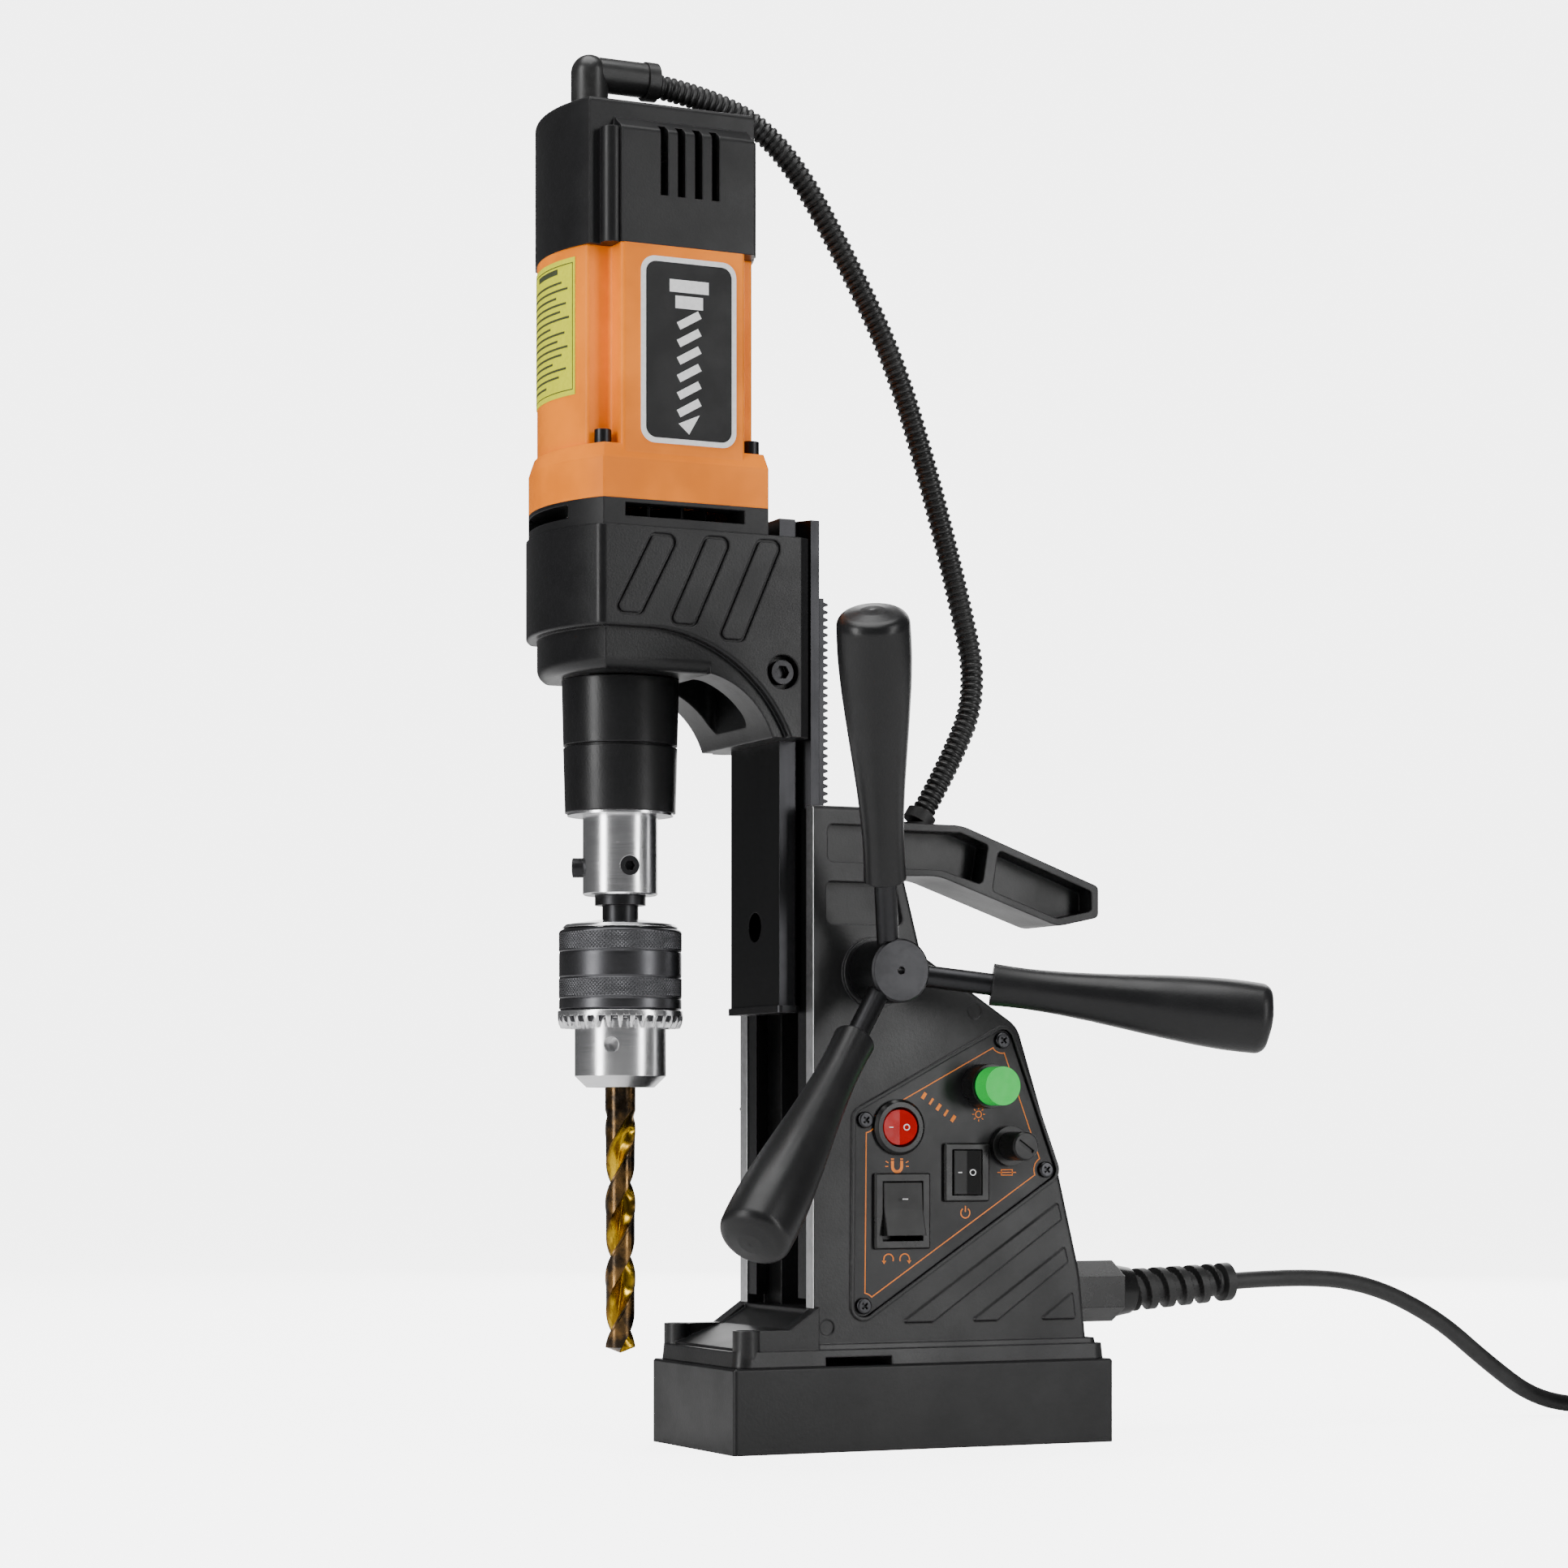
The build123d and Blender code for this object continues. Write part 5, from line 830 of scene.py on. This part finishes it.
for name, draw in (("panel_border", border), ("magnet_mark", magnet_icon), ("lamp_mark", lamp_icon),
                   ("fuse_mark", fuse_icon), ("power_mark", power_icon), ("turning_mark", turning_icon),
                   ("panel_bars", slanted_bars)):
    bm = bmesh.new()
    draw(bm)
    mark = piece(name, bm, ORANGE_INK, "stand", 0)


CROWN, CREST_RISE = 4.1, 1.2  # a rocker's middle above its pin, and how much higher its ends are
PIN_DEPTH = 1.5  # a rocker's pin behind the panel's face
MARK_AT = 0.48  # a mark's place, as a share of the way from the middle to the end


def turned(bm, centre, axis, angle):
    """Turns flat print about a point, by an angle in degrees."""
    bmesh.ops.rotate(bm, verts=bm.verts, cent=Vector(centre), matrix=Matrix.Rotation(radians(angle), 3, axis))


def rocker_marks(node, tip, upright):
    """White signs on a rocker's two slopes, leaning with them; the rocker's body has the node's name."""
    low, high = box_mm(node)
    x, z = centre_of(node)
    half = (high.x - low.x if upright else high.z - low.z) / 2 - 0.4
    axis = "Z" if upright else "X"
    pin_y = PANEL_FACE + PIN_DEPTH
    y = pin_y - CROWN - CREST_RISE * MARK_AT
    lean = degrees(atan2(CREST_RISE, half)) * (1 if upright else -1)
    for side in (-1, 1):
        out = side * half * MARK_AT
        px, pz = (x + out, z) if upright else (x, z + out)
        bm = bmesh.new()
        if upright and side < 0:
            strip(bm, [(px - 0.9, pz), (px + 0.9, pz)], 0.42, y)
        elif upright:
            strip(bm, ring_points(px, pz, 1.15, 22), 0.4, y, closed=True)
        else:
            for rise in (-0.5, 0.6) if side < 0 else (0.0,):
                strip(bm, [(px - 1.3, pz + rise), (px + 1.3, pz + rise)], 0.42, y)
        turned(bm, (px, y, pz), axis, -side * lean)
        turned(bm, (x, pin_y, z), axis, tip)
        mark = piece(f"{node}_mark_{'low' if side < 0 else 'high'}", bm, WHITE_INK, node, 0)


rocker_marks("magnet_rocker", -8, True)
rocker_marks("power_rocker", -8, True)
rocker_marks("direction_rocker", 10, False)


# ---------------------------------------------------------------- labels on the motor
PLATE_AT, PLATE_SIZE, PLATE_BACK = (-105.5, 442.3), (41.5, 74.5), -37.5
RIM_WIDTH, RIM_THICK, FIELD_THICK = 2.1, 0.45, 0.10


def rating_plate():
    """A white-edged black plate with a plain drill mark, on the motor's near side."""
    (cx, cz), (width, height) = PLATE_AT, PLATE_SIZE
    field_back = PLATE_BACK - RIM_THICK
    rim = rounded(cx, cz, width, height, 6.0)
    field = rounded(cx, cz, width - 2 * RIM_WIDTH, height - 2 * RIM_WIDTH, 4.4)
    for name, outline, y, thick, material, slot in (
            ("plate_rim", rim, PLATE_BACK, RIM_THICK, WHITE_INK, "steel_zinc"),
            ("plate_field", field, field_back, FIELD_THICK, PLATE_BLACK, "cover_black")):
        bm = bmesh.new()
        patch(bm, outline, y, thick)
        layer = piece(name, bm, material, "carriage", 50)
    # a twist drill drawn with slanted bars and a pointed tip, under a chuck of two blocks
    y = field_back - FIELD_THICK
    bm = bmesh.new()
    strip(bm, [(cx - 8.5, cz + 26), (cx + 8.5, cz + 26)], 5.0, y)
    strip(bm, [(cx - 6.0, cz + 19.6), (cx + 6.0, cz + 19.6)], 5.0, y)
    for k in range(6):
        z = cz + 12.6 - 7.0 * k
        strip(bm, [(cx - 4.6, z - 2.6), (cx + 4.6, z + 2.6)], 3.2, y)
    patch(bm, [(cx - 4.6, cz - 29.0), (cx + 4.6, cz - 25.0), (cx, cz - 33.0)], y)
    mark = piece("plate_drill_mark", bm, WHITE_INK, "carriage", 0)


rating_plate()
BOW_HALF, BOW_RISE, BOW_EDGE = 27.0, 6.5, -145.0  # half width and rise of the motor's bowed front, and its edge
FRONT_R = (BOW_HALF**2 + BOW_RISE**2) / (2 * BOW_RISE)
FRONT_CENTRE = BOW_EDGE - BOW_RISE + FRONT_R
LABEL_THICK = 0.3
LABEL_HALF, LABEL_FOOT, LABEL_TOP = 21.5, 425.0, 480.0
FRAME_HALF, FRAME_FOOT, FRAME_TOP, FRAME_WIDTH = 20.3, 427.0, 478.0, 0.4


def bent_patch(bm, y_from, y_to, z_from, z_to, proud, thick, steps=24):
    """A label area wrapped on the motor's bowed front."""
    back, front = FRONT_R + proud, FRONT_R + proud + thick
    rings = []
    for i in range(steps + 1):
        a = (y_from + (y_to - y_from) * i / steps) / FRONT_R
        rings.append([(FRONT_CENTRE - r * cos(a), -r * sin(a), z)
                      for r, z in ((back, z_from), (front, z_from), (front, z_to), (back, z_to))])
    skin_rings(bm, rings)


bm = bmesh.new()
bent_patch(bm, -LABEL_HALF, LABEL_HALF, LABEL_FOOT, LABEL_TOP, 0.0, LABEL_THICK)
label = piece("notice_label", bm, NOTICE_YELLOW, "carriage", 40)
bm = bmesh.new()
bent_patch(bm, -10.0, 10.0, 474.6, 476.8, LABEL_THICK, PRINT, 8)
for k, width in enumerate((31, 35, 27, 34, 30, 36, 22, 33, 28, 35, 31, 24, 34, 29, 18)):
    z = 470.5 - 2.9 * k
    bent_patch(bm, -18.0, -18.0 + width, z, z + 0.9, LABEL_THICK, PRINT, 10)
for y_from, y_to, z_from, z_to in ((-FRAME_HALF, FRAME_WIDTH - FRAME_HALF, FRAME_FOOT, FRAME_TOP),
                                   (FRAME_HALF - FRAME_WIDTH, FRAME_HALF, FRAME_FOOT, FRAME_TOP),
                                   (-FRAME_HALF, FRAME_HALF, FRAME_FOOT, FRAME_FOOT + FRAME_WIDTH),
                                   (-FRAME_HALF, FRAME_HALF, FRAME_TOP - FRAME_WIDTH, FRAME_TOP)):
    bent_patch(bm, y_from, y_to, z_from, z_to, LABEL_THICK, PRINT, 8)
lines = piece("notice_lines", bm, NOTICE_INK, "carriage", 0)

# ---------------------------------------------------------------- floor, light
floor_data = bpy.data.meshes.new("floor")
floor_bm = bmesh.new()
bmesh.ops.create_grid(floor_bm, x_segments=1, y_segments=1, size=12)
floor_bm.to_mesh(floor_data)
floor_bm.free()
ground = bpy.data.objects.new("floor", floor_data)
COLLECTION.objects.link(ground)
s = Shader("floor_paper", 0.0, 0.65, Specular_IOR_Level=0.1)
paper = s.mix(s.span(s.noise(3, 2), 0.3, 0.7, 0, 1), (0.86, 0.86, 0.86), (0.88, 0.88, 0.88))
glow_on_paper = s.node("ShaderNodeLightPath").outputs["Is Camera Ray"]
s.link(s.math("MULTIPLY", glow_on_paper, 4.85), s.bsdf.inputs["Emission Strength"])
s.put("Emission Color", (1.0, 1.0, 1.0, 1.0))
floor_data.materials.append(s.finish(paper, s.span(s.noise(6, 2), 0.3, 0.7, 0.6, 0.7)))

world = bpy.data.worlds.new("studio")
bpy.context.scene.world = world
world.use_nodes = True
fill_light = world.node_tree.nodes["Background"]
fill_light.inputs["Color"].default_value = (0.98, 0.985, 1.0, 1)
fill_light.inputs["Strength"].default_value = 0.13
seen = world.node_tree.nodes.new("ShaderNodeBackground")
seen.inputs["Color"].default_value = (1.0, 1.0, 1.0, 1)
seen.inputs["Strength"].default_value = 5.0
path = world.node_tree.nodes.new("ShaderNodeLightPath")
choose = world.node_tree.nodes.new("ShaderNodeMixShader")
world.node_tree.links.new(path.outputs["Is Camera Ray"], choose.inputs["Fac"])
world.node_tree.links.new(fill_light.outputs[0], choose.inputs[1])
world.node_tree.links.new(seen.outputs[0], choose.inputs[2])
world.node_tree.links.new(choose.outputs[0], world.node_tree.nodes["World Output"].inputs["Surface"])


def softbox(name, at, target, size, power):
    """A rectangular area light aimed at a point."""
    data = bpy.data.lights.new(name, "AREA")
    data.shape = "RECTANGLE"
    data.size, data.size_y = size
    data.energy = power
    made = bpy.data.objects.new(name, data)
    made.location = at
    made.rotation_euler = (Vector(target) - Vector(at)).to_track_quat("-Z", "Y").to_euler()
    COLLECTION.objects.link(made)


softbox("left_box", (-1.5, -0.35, 0.55), (-0.05, 0, 0.3), (0.4, 1.7), 24)
softbox("right_box", (0.75, -1.35, 0.6), (0, 0, 0.25), (0.3, 1.6), 14)
softbox("top_box", (-0.3, -0.2, 2.1), (-0.05, 0, 0.2), (1.6, 1.6), 42)
softbox("rear_box", (0.9, 1.3, 0.9), (0, 0, 0.3), (1.2, 1.4), 20)
